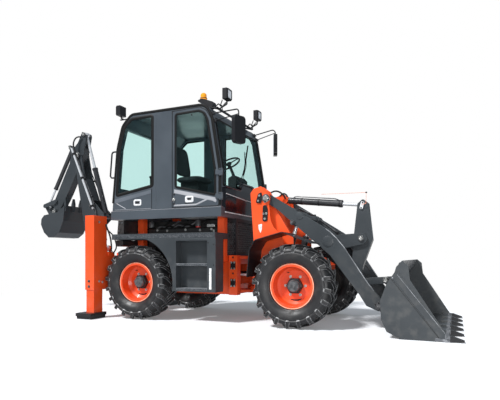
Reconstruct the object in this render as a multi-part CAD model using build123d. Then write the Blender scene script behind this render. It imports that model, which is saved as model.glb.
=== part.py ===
"""Compact articulated backhoe loader, in millimetres.

X points forward, Y to the left, Z up. The origin is on the ground below the middle of the machine.
The rear frame carries the engine, the cab, the stabilisers and the backhoe. The front frame carries
the loader and turns about the vertical pins between the two.
"""
from build123d import *
import os

os.makedirs("parts", exist_ok=True)

# ---------------------------------------------------------------- driving dimensions
wheelbase = 2380
wheelbase_middle_x = 335
rear_axle_x = wheelbase_middle_x - wheelbase / 2
front_axle_x = wheelbase_middle_x + wheelbase / 2
# The front unit and the rear equipment are drawn round these axle places, and follow their axles.
drawn_front_axle_x = 1525
drawn_rear_axle_x = -855
front_shift = front_axle_x - drawn_front_axle_x
rear_shift = rear_axle_x - drawn_rear_axle_x
pivot_x = 665                      # vertical steering pins
pin_clearance = 0.4                # radial gap round a turning pin, a rod or a leg
side_gap = 5                       # free gap on each side of an eye in its fork
plate = 20                         # heavy frame plate
sheet = 8                          # panel and fender sheet

# ---------------------------------------------------------------- shape helpers


def span(x, y, z):
    """Box between pairs of X, Y and Z."""
    size = Box(x[1] - x[0], y[1] - y[0], z[1] - z[0])
    return Pos((x[0] + x[1]) / 2, (y[0] + y[1]) / 2, (z[0] + z[1]) / 2) * size


def upright(outline, y, thickness, radius=0):
    """Plate standing along the machine, from an outline of (x, z), centred on y."""
    path = FilletPolyline(*outline, radius=radius, close=True) if radius else Polyline(*outline, close=True)
    face = Plane.XZ * make_face(path)
    return Pos(0, y + thickness / 2, 0) * extrude(face, thickness, dir=(0, -1, 0))


def flat(outline, z, thickness, radius=0):
    """Horizontal plate from an outline of (x, y), with its underside at z."""
    path = FilletPolyline(*outline, radius=radius, close=True) if radius else Polyline(*outline, close=True)
    return Pos(0, 0, z) * extrude(make_face(path), thickness, dir=(0, 0, 1))


def across(x, z, radius, y, length):
    """Round bar or bore along Y, centred on y."""
    return Pos(x, y, z) * Rot(90, 0, 0) * Cylinder(radius, length)


def post(x, y, radius, z):
    """Round bar or bore along Z between a pair of heights."""
    return Pos(x, y, (z[0] + z[1]) / 2) * Cylinder(radius, z[1] - z[0])


def tube_path(points, radius, bend):
    """Round bar along straight runs joined by bends of one radius."""
    path = FilletPolyline(*points, radius=bend) if len(points) > 2 else Line(*points)
    start = Plane(origin=path @ 0, z_dir=path % 0)
    return sweep(start * Circle(radius), path=path)


def upright_hull(discs, y, thickness):
    """Plate standing along the machine: the convex outline round a list of ((x, z), radius) discs."""
    face = make_hull([Pos(c[0], c[1]) * Circle(r).edge() for c, r in discs])
    return Pos(0, y + thickness / 2, 0) * extrude(Plane.XZ * face, thickness, dir=(0, -1, 0))


def save(shape, node, shift=0):
    """Write one node, placed shift ahead of where it is drawn."""
    export_step(Pos(shift, 0, 0) * shape, "parts/" + node + ".step")


# ---------------------------------------------------------------- hydraulic cylinders


def hydraulic(base, eye, pin_axis, barrel_radius, rod_radius, barrel_length, push_in, eye_width):
    """Barrel and rod between two pin centres.

    The barrel's eye turns on the pin of its bracket. The rod starts push_in above the bottom of its
    bore, so that it can slide in that far. Its eye holds its own short pin.
    """
    reach = Vector(*eye) - Vector(*base)
    length = reach.length
    frame = Plane(origin=base, x_dir=reach.normalized(), z_dir=pin_axis).location
    eye_radius = barrel_radius * 0.85
    neck = barrel_radius * 1.35
    pin = barrel_radius * 0.5
    bore_bottom = neck + 24
    gland = 26
    along = Rot(0, 90, 0)
    body = Pos((neck + barrel_length) / 2, 0, 0) * along * Cylinder(barrel_radius, barrel_length - neck)
    collar = Pos(barrel_length - gland / 2, 0, 0) * along * Cylinder(barrel_radius * 1.12, gland)
    ring = Cylinder(eye_radius, eye_width)
    shank = Pos(neck / 2, 0, 0) * Box(neck, eye_radius * 1.6, eye_width)
    bore = Pos((bore_bottom + barrel_length + 1) / 2, 0, 0) * along * Cylinder(
        rod_radius + pin_clearance, barrel_length + 1 - bore_bottom)
    barrel = body + [collar, ring, shank] - [Cylinder(pin + pin_clearance, eye_width + 2), bore]
    rod_start = bore_bottom + push_in + 10
    rod = Pos((rod_start + length) / 2, 0, 0) * along * Cylinder(rod_radius, length - rod_start)
    rod = rod + [Pos(length, 0, 0) * Cylinder(rod_radius * 1.9, eye_width)]
    return frame * barrel, frame * rod


def pin_heads(place, radius, y, thickness=8):
    """Round heads of a pin on the outer faces of a fork, |y| from the middle plane."""
    return [across(place[0], place[1], radius, side * (y + thickness / 2), thickness) for side in (1, -1)]


# ---------------------------------------------------------------- wheels
tyre_radius = 537.5
tyre_width = 390
track_half = 770                   # middle of each tyre from the middle of the machine
axle_z = tyre_radius
bead_radius = 262
rim_flange_radius = 290
rim_half_width = 130
lug_height = 26
lug_pairs = 20
carcass_radius = tyre_radius - lug_height
disc_offset = -40                  # of the wheel disc from the middle of the rim, inwards
hub_radius = 92
hub_face = 30                      # outer face of the hub, outwards from the middle of the rim


def tyre():
    """Carcass turned about the axle, with a ring of slanted lugs on each half of the tread."""
    half = tyre_width / 2
    bead = rim_half_width - 16
    outline = [
        (bead, bead_radius), (bead, rim_flange_radius), (half - 35, 335), (half, 405),
        (half - 6, 455), (half - 38, carcass_radius - 12), (half - 95, carcass_radius),
    ]
    outline = outline + [(-w, r) for w, r in reversed(outline)]
    face = Plane.YZ * make_face(Polyline(*outline, close=True))
    body = revolve(face, Axis.Y, 360)
    lug_inner = carcass_radius - 14
    lug_thick = 34
    lugs = []
    for half_side in (1, -1):
        # Corners of one lug on the tread: distance from the middle, and how far round, both in mm.
        foot = [(-12, 0), (-12, lug_thick), (half - 60, lug_thick + 95), (half - 12, lug_thick + 105),
                (half - 12, 105), (half - 60, 95)]
        face = make_face(Polyline(*[(w * half_side, a) for w, a in foot], close=True))
        lug = Pos(0, 0, lug_inner) * extrude(face, tyre_radius - lug_inner, dir=(0, 0, 1))
        lug = Rot(0, 0, 90) * lug
        for n in range(lug_pairs):
            turn = (n + (0.5 if half_side > 0 else 0)) * 360 / lug_pairs
            lugs.append(Rot(0, turn, 0) * lug)
    limit = Rot(90, 0, 0) * Cylinder(tyre_radius, tyre_width)
    shoulder = Rot(90, 0, 0) * Cylinder(lug_inner, tyre_width + 2)
    return body + [(lug & limit) - shoulder for lug in lugs]


def rim():
    """Deep dished rim, turned about the axle, with its disc and the drive hub in the middle."""
    w = rim_half_width
    d = disc_offset
    # (distance outwards from the middle of the rim, radius)
    outline = [
        (-w, rim_flange_radius), (-w, 235), (-w + 20, 228), (d, 228), (d, 0), (hub_face, 0),
        (hub_face, hub_radius - 12), (hub_face - 12, hub_radius), (d + 12, hub_radius),
        (d + 12, 200), (d + 40, 238), (w, 250), (w, rim_flange_radius), (w - 15, rim_flange_radius),
        (w - 15, bead_radius), (-w + 15, bead_radius), (-w + 15, rim_flange_radius),
    ]
    face = Plane.YZ * make_face(Polyline(*outline, close=True))
    return revolve(face, Axis.Y, 360)


wheel_places = [
    # node end, axle x, side of the machine
    ("front_right", front_axle_x, -1),
    ("front_left", front_axle_x, 1),
    ("rear_right", rear_axle_x, -1),
    ("rear_left", rear_axle_x, 1),
]
for end, x, side in wheel_places:
    facing = Rot(0, 0, 0) if side > 0 else Rot(0, 0, 180)
    place = Pos(x, side * track_half, axle_z) * facing
    save(Pos(x, side * track_half, axle_z) * tyre(), "tyre_" + end)
    save(place * rim(), "rim_" + end)


# ---------------------------------------------------------------- axles
axle_tube_radius = 72
axle_end = track_half + disc_offset - 1      # flange face, against the wheel disc
frame_half = 350                   # outer faces of the rear frame's side plates
spring_seat_z = 640                # underside of both frames above the axles


def axle(x, seat_half, seat_thickness):
    """Rigid drive axle: tube, round differential case, end flanges and the pads under the frame."""
    tube = across(x, axle_z, axle_tube_radius, 0, 2 * (axle_end - 60))
    case = Pos(x, 0, axle_z) * Sphere(165)
    case = case & span((x - 165, x + 165), (-150, 150), (axle_z - 165, spring_seat_z))
    pieces = [case]
    for side in (1, -1):
        drum = across(x, axle_z, 118, side * (axle_end - 55), 110)
        pad = span((x - 70, x + 70), sorted((side * (seat_half - seat_thickness), side * seat_half)),
                   (axle_z, spring_seat_z))
        pieces = pieces + [drum, pad]
    return tube + pieces


front_frame_half = 380
save(axle(rear_axle_x, frame_half, plate), "rear_axle")
save(axle(front_axle_x, front_frame_half, plate), "front_axle")

# ---------------------------------------------------------------- rear frame
slide_frame_front = -1455          # front face of the transverse slide frame
slide_frame_depth = 165
slide_frame_rear = slide_frame_front - slide_frame_depth
slide_frame_z = (420, 930)
frame_top = 930
frame_bottom = 360
frame_front = 560
bulkhead_x = 440
hinge_radius = 95
pin_radius = 40
hinge_plate = 40
rear_hinge_z = (380, 880)          # undersides of the rear frame's lower and upper hinge plates
steer_base = (150, 250, 650)       # pin of each steering barrel
steer_barrel_radius = 32
cab_post_places = [
    # x range of each post between the frame and the cab
    (-1085, -985),
    (295, 400),
]
cab_sill_z = (1460, 1590)
sill_plate = 30
post_half = (440, 540)             # inner and outer faces of the cab posts

frame_rear = slide_frame_front + rear_shift
side_outline = [
    (frame_rear, 430), (frame_rear, frame_top), (frame_front, frame_top),
    (frame_front, frame_bottom), (rear_axle_x + 300, frame_bottom), (rear_axle_x + 220, spring_seat_z),
    (rear_axle_x - 220, spring_seat_z), (rear_axle_x - 300, 430),
]
side_plate = upright(side_outline, frame_half - plate / 2, plate)
inside = frame_half - plate
rear_cross = span((frame_rear, frame_rear + plate), (-inside, inside), (430, frame_top))
bulkhead = span((bulkhead_x, bulkhead_x + 30), (-inside, inside), (frame_bottom, frame_top))
bulkhead = bulkhead - span((bulkhead_x - 1, bulkhead_x + 31), (-inside, inside), (500, 800))
rear_pieces = [mirror(side_plate, about=Plane.XZ), rear_cross, bulkhead]
for z in rear_hinge_z:
    tongue = flat([(bulkhead_x + 30, -240), (pivot_x, -hinge_radius), (pivot_x, hinge_radius),
                   (bulkhead_x + 30, 240)], z, hinge_plate)
    tongue = tongue + post(pivot_x, 0, hinge_radius, (z, z + hinge_plate))
    rear_pieces.append(tongue - post(pivot_x, 0, pin_radius + pin_clearance, (z - 1, z + hinge_plate + 1)))
for side in (1, -1):
    front_post = span((430, frame_front), sorted((side * frame_half, side * (frame_half + 100))),
                      (frame_bottom, frame_top))
    rear_pieces.append(front_post)
    for x0, x1 in cab_post_places:
        rear_pieces.append(span((x0, x1), sorted((side * post_half[0], side * post_half[1])),
                                (frame_top - 90, cab_sill_z[1] - sill_plate)))
        rear_pieces.append(span((x0, x1), sorted((side * frame_half, side * post_half[0])),
                                (frame_top - 90, frame_top)))
    # fork for the steering barrel, standing in from the side plate
    bx, by, bz = steer_base
    for z in (bz - 23 - 3 - 15, bz + 23 + 3):
        tongue = span((bx - 36, bx + 36), sorted((side * inside, side * by)), (z, z + 15))
        rear_pieces.append(tongue + post(bx, side * by, 36, (z, z + 15)))
    rear_pieces.append(post(bx, side * by, steer_barrel_radius / 2, (bz - 50, bz + 50)))
save(side_plate + rear_pieces, "rear_frame")

# ---------------------------------------------------------------- slide frame and stabilisers
stab_tube_x = (slide_frame_rear, slide_frame_front)
stab_tube_y = (820, 1100)
stab_tube_z = (420, 1520)
stab_wall = 12
leg_gap = pin_clearance
leg_depth = 185                    # across the machine
leg_x = (stab_tube_x[0] + stab_wall + leg_gap, stab_tube_x[1] - stab_wall - leg_gap)
leg_y = (stab_tube_y[1] - stab_wall - leg_gap - leg_depth, stab_tube_y[1] - stab_wall - leg_gap)
leg_top = 1170
pad_z = (0, 85)
pad_x = (-1690, -1410)
pad_y = (880, 1220)
rail = 90                          # height of the top and bottom slide rails


def stabiliser_tube(side):
    """Square guide tube, closed on top, with the leg's bore open at the bottom."""
    outer = span(stab_tube_x, sorted((side * stab_tube_y[0], side * stab_tube_y[1])), stab_tube_z)
    bore = span((leg_x[0] - leg_gap, leg_x[1] + leg_gap),
                sorted((side * (leg_y[0] - leg_gap), side * (leg_y[1] + leg_gap))),
                (stab_tube_z[0] - 1, stab_tube_z[1] - stab_wall))
    return outer - bore


front_skin = span((slide_frame_front - plate, slide_frame_front), (-stab_tube_y[0], stab_tube_y[0]),
                  slide_frame_z)
slide_pieces = [stabiliser_tube(1), stabiliser_tube(-1)]
for z0 in (slide_frame_z[0], slide_frame_z[1] - rail):
    slide_pieces.append(span(stab_tube_x, (-stab_tube_y[0], stab_tube_y[0]), (z0, z0 + rail)))
save(front_skin + slide_pieces, "slide_frame", rear_shift)

for side, end in ((-1, "right"), (1, "left")):
    leg = span(leg_x, sorted((side * leg_y[0], side * leg_y[1])), (pad_z[1], leg_top))
    foot = span(pad_x, sorted((side * pad_y[0], side * pad_y[1])), (40, pad_z[1]))
    sole = span((pad_x[0] + 12, pad_x[1] - 12), sorted((side * (pad_y[0] + 12), side * (pad_y[1] - 12))),
                (pad_z[0], 40))
    save(leg + [foot, sole], "stabiliser_leg_" + end, rear_shift)

# ---------------------------------------------------------------- side-shift carriage
swing_x = -1880                    # kingpost axis
carriage_half = 260
carriage_back = slide_frame_rear - 75
carriage_gap = pin_clearance
swing_lug_z = (440, 880)           # undersides of the lower and upper kingpost lugs
swing_lug = 40
swing_pin_radius = 38
kingpost_radius = 105

back_plate = span((carriage_back, slide_frame_rear - carriage_gap), (-carriage_half, carriage_half),
                  (slide_frame_z[0] - 30, slide_frame_z[1] + 30))
carriage_pieces = []
for z0 in (slide_frame_z[0] - 30, slide_frame_z[1] + carriage_gap):
    # hook over the slide frame's rail, above and below
    carriage_pieces.append(span((slide_frame_rear - carriage_gap, slide_frame_rear + 60),
                                (-carriage_half, carriage_half), (z0, z0 + 27)))
for z in swing_lug_z:
    lug = flat([(carriage_back, -170), (swing_x, -kingpost_radius), (swing_x, kingpost_radius),
                (carriage_back, 170)], z, swing_lug)
    lug = lug + post(swing_x, 0, kingpost_radius, (z, z + swing_lug))
    carriage_pieces.append(lug)
for z in swing_lug_z:
    carriage_pieces.append(post(swing_x, 0, swing_pin_radius, (z - 55, z + swing_lug + 55)))
save(back_plate + carriage_pieces, "carriage", rear_shift)

# ---------------------------------------------------------------- swing post
boom_foot = (-2290, 640)
boom_cylinder_eye = (-2150, 1050)
boom_foot_half = 150               # outer faces of the swing post's cheeks
cheek = 40
swing_gap = 5
column_z = (swing_lug_z[0] + swing_lug + swing_gap, swing_lug_z[1] - swing_gap)
column = post(swing_x, 0, kingpost_radius, column_z)
column = column + [span((swing_x - 150, swing_x), (-kingpost_radius, kingpost_radius), column_z)]
column = column - post(swing_x, 0, swing_pin_radius + pin_clearance, (swing_lug_z[0], swing_lug_z[1] + 60))
web = span((swing_x - 190, swing_x - 130), (-boom_foot_half, boom_foot_half), column_z)
post_pieces = [web]
for side in (1, -1):
    y = side * (boom_foot_half - cheek / 2)
    cheek_plate = upright_hull([((swing_x - 160, column_z[0] + 40), 40), (boom_foot, 75),
                                ((swing_x - 170, column_z[1] - 40), 40)], y, cheek)
    horn = upright_hull([(boom_cylinder_eye, 55), ((-2130, 760), 80)], side * 62, 24)
    post_pieces = post_pieces + [cheek_plate, horn]
post_pieces.append(span((-2190, swing_x - 150), (-boom_foot_half, boom_foot_half), (760, 800)))
boom_foot_pin = across(boom_foot[0], boom_foot[1], 35, 0, 2 * boom_foot_half + 30)
save(column + post_pieces + [boom_foot_pin], "swing_post", rear_shift)

# ---------------------------------------------------------------- boom
stick_pivot = (-2700, 2690)
stick_cylinder_base = (-2140, 1600)
boom_barrel_pin = (-2395, 1800)
boom_half = 104                    # outer faces of the boom's side plates
boom_wall = 12
boom_head_z = 2280                 # the boom is an open fork above this height
stick_half = 70

# Outline of the boom's side plates, (x, z), from the foot up the rear edge and down the front edge.
boom_outline = [
    (-2370, 640), (-2495, 1136), (-2633, 1877), (-2745, 2449), (-2775, 2690), (-2700, 2765),
    (-2625, 2700), (-2545, 2315), (-2380, 1900), (-2120, 1650), (-2110, 1570), (-2270, 1430),
    (-2215, 640), (-2290, 565),
]
# Room between the side plates for the boom cylinder, open at the front.
cylinder_room = [(-2150, 900), (-2240, 1000), (-2470, 1790), (-2400, 1890), (-2300, 1890), (-2000, 1700),
                 (-2000, 900)]
boom_box = upright(boom_outline, 0, 2 * boom_half, radius=30)
boom_inside = boom_half - boom_wall
hollow = upright([(-2420, 1180), (-2600, 1880), (-2650, 2260), (-2560, 2260), (-2440, 1850), (-2365, 1560),
                  (-2320, 1180)], 0, 2 * boom_inside)
head_slot = span((-2900, -2400), (-stick_half - 8, stick_half + 8), (boom_head_z, 2900))
boom = boom_box - [hollow, head_slot, upright(cylinder_room, 0, 2 * boom_inside),
                   across(boom_foot[0], boom_foot[1], 35 + pin_clearance, 0, 400)]
boom = boom + [across(stick_pivot[0], stick_pivot[1], 30, 0, 2 * boom_half + 30)]
boom_eye_width = 60
for place, radius in ((stick_cylinder_base, 22), (boom_barrel_pin, 22)):
    boom = boom + [across(place[0], place[1], radius, 0, 2 * boom_half + 20)]
    for side in (1, -1):
        spacer = boom_inside - boom_eye_width / 2 - 3
        boom = boom + [across(place[0], place[1], 32, side * (boom_inside - spacer / 2), spacer)]
save(boom, "boom", rear_shift)

# ---------------------------------------------------------------- stick
stick_top = (-2590, 3060)          # eye of the stick cylinder's rod
hoe_pin = (-3238, 1724)
hoe_barrel_base = (-2905, 2860)
lever_pivot = (-3235, 1905)
lever_end = (-3490, 1835)
hoe_ear = (-3335, 1600)
stick_outline = [
    (-2635, 3105), (-2730, 2930), (-2865, 2800), (-2915, 2584), (-3270, 1930), (-3300, 1700),
    (-3238, 1650), (-3165, 1715), (-2960, 2040), (-2720, 2470), (-2600, 2720), (-2530, 3050),
]
stick = upright(stick_outline, 0, 2 * stick_half, radius=25)
fork_slot = upright_hull([(stick_top, 70), ((-2610, 3004), 56), ((-2500, 2790), 60), ((-2400, 3160), 60)], 0, 70)
hoe_ear_inner = 42
stick = stick - [fork_slot, across(stick_pivot[0], stick_pivot[1], 30 + pin_clearance, 0, 300),
                 upright_hull([(hoe_barrel_base, 62), ((-3100, 2510), 60)], 0, 2 * hoe_ear_inner)]
for side in (1, -1):
    ear = upright_hull([(hoe_barrel_base, 38), ((-2840, 2760), 60)], side * (hoe_ear_inner + 8), 16)
    spacer = across(hoe_barrel_base[0], hoe_barrel_base[1], 26, side * (28 + hoe_ear_inner) / 2,
                    hoe_ear_inner - 28)
    stick = stick + [ear, spacer]
stick = stick + [across(hoe_barrel_base[0], hoe_barrel_base[1], 18, 0, 2 * hoe_ear_inner + 50)]
stick = stick + pin_heads(stick_top, 30, stick_half)
stick = stick + [across(lever_pivot[0], lever_pivot[1], 22, 0, 2 * stick_half + 60)]
stick = stick + [across(hoe_pin[0], hoe_pin[1], 28, 0, 2 * stick_half + 90)]
save(stick, "stick", rear_shift)

# ---------------------------------------------------------------- hoe bucket
hoe_width = 600
hoe_side = 16
hoe_teeth = 4
hoe_lip = (-2808, 1799)
# Outer profile of the bucket, (x, z): from the lip down the floor, round the heel and up the back.
hoe_profile = [hoe_lip, (-2842, 1534), (-2940, 1330), (-3060, 1252), (-3179, 1247), (-3290, 1340),
               (-3360, 1481), (-3351, 1577)]
hoe_shell = [(-2822, 1799), (-2857, 1540), (-2950, 1345), (-3064, 1268), (-3172, 1263), (-3277, 1350),
             (-3344, 1485), (-3336, 1570)]
hoe_solid = upright(hoe_profile + [(-3288, 1643), (-2983, 1686)], 0, hoe_width)
hoe_hollow = upright(hoe_shell + [(-3280, 1760), (-2822, 1900)], 0, hoe_width - 2 * hoe_side)
ear_half = 104
hoe_bucket = hoe_solid - [hoe_hollow, across(hoe_ear[0], hoe_ear[1], 70, 0, 2 * ear_half - 16)]
for side in (1, -1):
    ear = upright_hull([(hoe_pin, 48), (hoe_ear, 42), ((-3330, 1500), 20), ((-3180, 1600), 20)],
                       side * ear_half, 16)
    ear = ear - across(hoe_pin[0], hoe_pin[1], 28 + pin_clearance, 0, 400)
    hoe_bucket = hoe_bucket + [ear]
hoe_bucket = hoe_bucket + pin_heads(hoe_ear, 28, ear_half + 8)
tooth_pitch = (hoe_width - 80) / (hoe_teeth - 1)
for n in range(hoe_teeth):
    y = -(hoe_width - 80) / 2 + n * tooth_pitch
    tooth = upright([(-2842, 1700), (-2796, 1700), (-2788, 1830), (-2805, 1930), (-2838, 1830)], y, 55)
    hoe_bucket = hoe_bucket + [tooth]
save(hoe_bucket, "hoe_bucket", rear_shift)

# ---------------------------------------------------------------- bucket lever and link
lever_y = 86
link_plate_y = 50
lever_plates = []
for side in (1, -1):
    bar = upright_hull([(lever_pivot, 38), (lever_end, 36)], side * lever_y, 14)
    bar = bar - across(lever_pivot[0], lever_pivot[1], 22 + pin_clearance, side * lever_y, 30)
    bar = bar + [across(lever_end[0], lever_end[1], 20, side * (lever_y + link_plate_y - 9) / 2,
                        lever_y - link_plate_y + 9 + 14)]
    lever_plates.append(bar)
save(lever_plates[0] + lever_plates[1], "tip_lever", rear_shift)
link_plates = []
for side in (1, -1):
    bar = upright_hull([(lever_end, 34), (hoe_ear, 32)], side * link_plate_y, 16)
    bar = bar - across(lever_end[0], lever_end[1], 20 + pin_clearance, side * link_plate_y, 30)
    link_plates.append(bar)
ear_gap = ear_half - 8 - side_gap
tip_link = link_plates[0] + [link_plates[1], across(hoe_ear[0], hoe_ear[1], 30, 0, 2 * ear_gap)]
save(tip_link, "tip_link", rear_shift)

# ---------------------------------------------------------------- loader pivot places
arm_pivot = (1040, 1712)
bell_pivot = (2247, 1155)
bell_top = (2255, 1620)
bell_bottom = (2150, 565)
bucket_pin = (2545, 300)
bucket_link_pin = (2572, 598)
tilt_base = (1130, 1735)
tilt_barrel_radius = 47
lift_base = (1135, 470)
lift_eye = (1410, 1370)
lift_y = 300
arm_y = 480
arm_thick = 60
tower_gap = 10
tower_inner_y = arm_y - arm_thick / 2 - tower_gap - plate / 2
tower_outer_y = arm_y + arm_thick / 2 + tower_gap + plate / 2

# ---------------------------------------------------------------- front frame
front_frame_x = (800, 1780)
front_frame_z = (420, 880)
front_hinge_z = (rear_hinge_z[0] + hinge_plate + side_gap, rear_hinge_z[1] - hinge_plate - side_gap)
steer_eye = (765, 270, 650)

drawn_pivot_x = pivot_x - front_shift
front_side_outline = [
    (front_frame_x[0], front_frame_z[0]), (front_frame_x[0], front_frame_z[1]),
    (front_frame_x[1] - 160, 900), (front_frame_x[1], 800), (front_frame_x[1], 560),
    (drawn_front_axle_x + 180, spring_seat_z), (drawn_front_axle_x - 180, spring_seat_z),
    (drawn_front_axle_x - 260, front_frame_z[0]),
]
front_side = upright(front_side_outline, front_frame_half - plate / 2, plate)
front_inside = front_frame_half - plate
front_pieces = [mirror(front_side, about=Plane.XZ)]
rear_wall = span((front_frame_x[0], front_frame_x[0] + 30), (-front_inside, front_inside), front_frame_z)
ex, ey, ez = steer_eye
for side in (1, -1):
    # window that the eye of the steering rod swings in
    rear_wall = rear_wall - span((front_frame_x[0] - 1, front_frame_x[0] + 31),
                                 sorted((side * (ey - 70), side * (ey + 60))),
                                 (ez - 23 - side_gap, ez + 23 + side_gap))
front_pieces.append(rear_wall)
front_pieces.append(span((front_frame_x[1] - 30, front_frame_x[1]), (-front_inside, front_inside), (580, 790)))
front_pieces.append(span((front_frame_x[0], 1230), (-front_frame_half, front_frame_half),
                         (front_frame_z[0] - 15, front_frame_z[0])))
for z in front_hinge_z:
    tongue = flat([(front_frame_x[0], -150), (drawn_pivot_x, -hinge_radius), (drawn_pivot_x, hinge_radius),
                   (front_frame_x[0], 150)], z, hinge_plate)
    front_pieces.append(tongue + post(drawn_pivot_x, 0, hinge_radius, (z, z + hinge_plate)))
    front_pieces.append(post(drawn_pivot_x, 0, pin_radius, (z - 50, z + hinge_plate + 50)))

tower_outline = [
    (807, 1790), (850, 1850), (960, 1880), (1060, 1810), (1100, 1725), (1080, 1630), (1104, 1410),
    (1150, 1310), (1260, 1200), (1300, 1080), (1300, 560), (870, 560), (852, 1160),
]
inner_outline = [
    (807, 1790), (850, 1850), (960, 1880), (1060, 1810), (1110, 1725), (1130, 1600), (1290, 1330),
    (1400, 1160), (1400, 1000), (1300, 880), (1300, 560), (870, 560), (852, 1160),
]
for side in (1, -1):
    outer_plate = upright(tower_outline, side * tower_outer_y, plate)
    inner_plate = upright(inner_outline, side * tower_inner_y, plate)
    shelf = span((870, 1300), sorted((side * front_inside, side * (tower_outer_y + plate / 2))), (560, 580))
    back = span((868, 884), sorted((side * tower_inner_y, side * tower_outer_y)), (570, 1450))
    pin = across(arm_pivot[0], arm_pivot[1], 32, side * arm_y, arm_thick + 2 * tower_gap + 2 * plate + 20)
    front_pieces = front_pieces + [outer_plate, inner_plate, shelf, back, pin]
    for z in (ez - 23 - side_gap - 15, ez + 23 + side_gap):
        lug = span((ex, front_frame_x[0]), sorted((side * (ey - 45), side * (ey + 45))), (z, z + 15))
        front_pieces.append(lug + post(ex, side * ey, 45, (z, z + 15)))
    for y in (lift_y - 45, lift_y + 45):
        lug = upright_hull([(lift_base, 50), ((1135, 430), 60)], side * y, 16)
        front_pieces.append(lug & span((1000, 1300), sorted((side * 200, side * 400)), (front_frame_z[0] - 10, 600)))
    front_pieces.append(across(lift_base[0], lift_base[1], 24, side * lift_y, 110))
tie_tube = across(960, 1690, 55, 0, 2 * (tower_inner_y))
front_pieces.append(tie_tube)
tilt_fork_half = 25 + 3 + 8
for side in (1, -1):
    front_pieces.append(upright_hull([(tilt_base, 52), ((970, 1700), 85)], side * tilt_fork_half, 16))
front_pieces.append(across(tilt_base[0], tilt_base[1], tilt_barrel_radius / 2, 0, 2 * tilt_fork_half + 30))
save(front_side + front_pieces, "front_frame", front_shift)

# ---------------------------------------------------------------- front fenders
fender_line = [(930, 650), (965, 1000), (1045, 1130), (1420, 1228), (1500, 1192), (1790, 1082)]
fender_inner = tower_outer_y + plate / 2
fender_outer = track_half + tyre_width / 2 + 2
fenders = []
for side in (1, -1):
    path = FilletPolyline(*fender_line, radius=60)
    strip = make_face(path + offset(path, sheet, side=Side.RIGHT))
    width = fender_outer - fender_inner
    body = extrude(Plane.XZ * strip, width, dir=(0, -1, 0))
    fenders.append(Pos(0, side * (fender_inner + fender_outer) / 2 + width / 2, 0) * body)
save(fenders[0] + fenders[1], "front_fenders", front_shift)

# ---------------------------------------------------------------- loader arms
# Outline of one arm, (x, z): along the top from the pivot to the bucket, and back below.
arm_outline = [
    (1040, 1787), (1159, 1716), (1774, 1336), (1905, 1250), (2060, 1100), (2398, 586), (2560, 385),
    (2610, 290), (2540, 225), (2387, 290), (2294, 436), (1919, 932), (1700, 1120), (1174, 1571), (965, 1690),
]
knee_tube = (1890, 1110)
lift_tube = (1505, 1458)
arms = []
for side in (1, -1):
    arm = upright(arm_outline, side * arm_y, arm_thick, radius=18)
    arm = arm - across(arm_pivot[0], arm_pivot[1], 32 + pin_clearance, side * arm_y, arm_thick + 2)
    arms.append(arm + [across(bucket_pin[0], bucket_pin[1], 30, side * arm_y, arm_thick + 120)])
inner_arm = arm_y - arm_thick / 2
arm_pieces = [arms[1], across(knee_tube[0], knee_tube[1], 75, 0, 2 * inner_arm),
              across(lift_tube[0], lift_tube[1], 42, 0, 2 * inner_arm)]
bell_fork_half = 80
for side in (1, -1):
    lug = upright_hull([(bell_pivot, 78), (knee_tube, 100)], side * bell_fork_half, 30)
    arm_pieces.append(lug)
    for y in (lift_y - 25 - side_gap - 8, lift_y + 25 + side_gap + 8):
        arm_pieces.append(upright_hull([(lift_eye, 45), (lift_tube, 60)], side * y, 16))
arm_pieces.append(across(bell_pivot[0], bell_pivot[1], 32, 0, 2 * bell_fork_half + 50))
save(arms[0] + arm_pieces, "loader_arms", front_shift)

# ---------------------------------------------------------------- bell crank and bucket link
bell_half = 50
bell_fork_z = 1490                 # the bell crank is a fork above this height
tilt_eye_width = 50
bell = upright([(2190, 1640), (2145, 1253), (2095, 590), (2140, 515), (2210, 540), (2270, 800), (2392, 1136),
                (2336, 1640), (2262, 1700)], 0, 2 * bell_half, radius=25)
bell = bell - [across(bell_pivot[0], bell_pivot[1], 32 + pin_clearance, 0, 200),
               span((2000, 2500), (-tilt_eye_width / 2 - side_gap, tilt_eye_width / 2 + side_gap),
                    (bell_fork_z, 1800))]
bell = bell + [across(bell_bottom[0], bell_bottom[1], 26, 0, 2 * bell_half + 70)]
bell = bell + pin_heads(bell_top, 34, bell_half)
save(bell, "bell_crank", front_shift)
link_y = bell_half + 3 + 10
link_plates = []
for side in (1, -1):
    bar = upright_hull([(bell_bottom, 46), (bucket_link_pin, 42)], side * link_y, 20)
    bar = bar - across(bell_bottom[0], bell_bottom[1], 26 + pin_clearance, side * link_y, 40)
    link_plates.append(bar)
bucket_link = link_plates[0] + [link_plates[1],
                                across(bucket_link_pin[0], bucket_link_pin[1], 42, 0, 2 * link_y + 20)]
save(bucket_link, "bucket_link", front_shift)

# ---------------------------------------------------------------- loader bucket
bucket_half = 1135
bucket_side = 14
bucket_skin = 14
bucket_teeth = 6
lip_x = 3363
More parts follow.
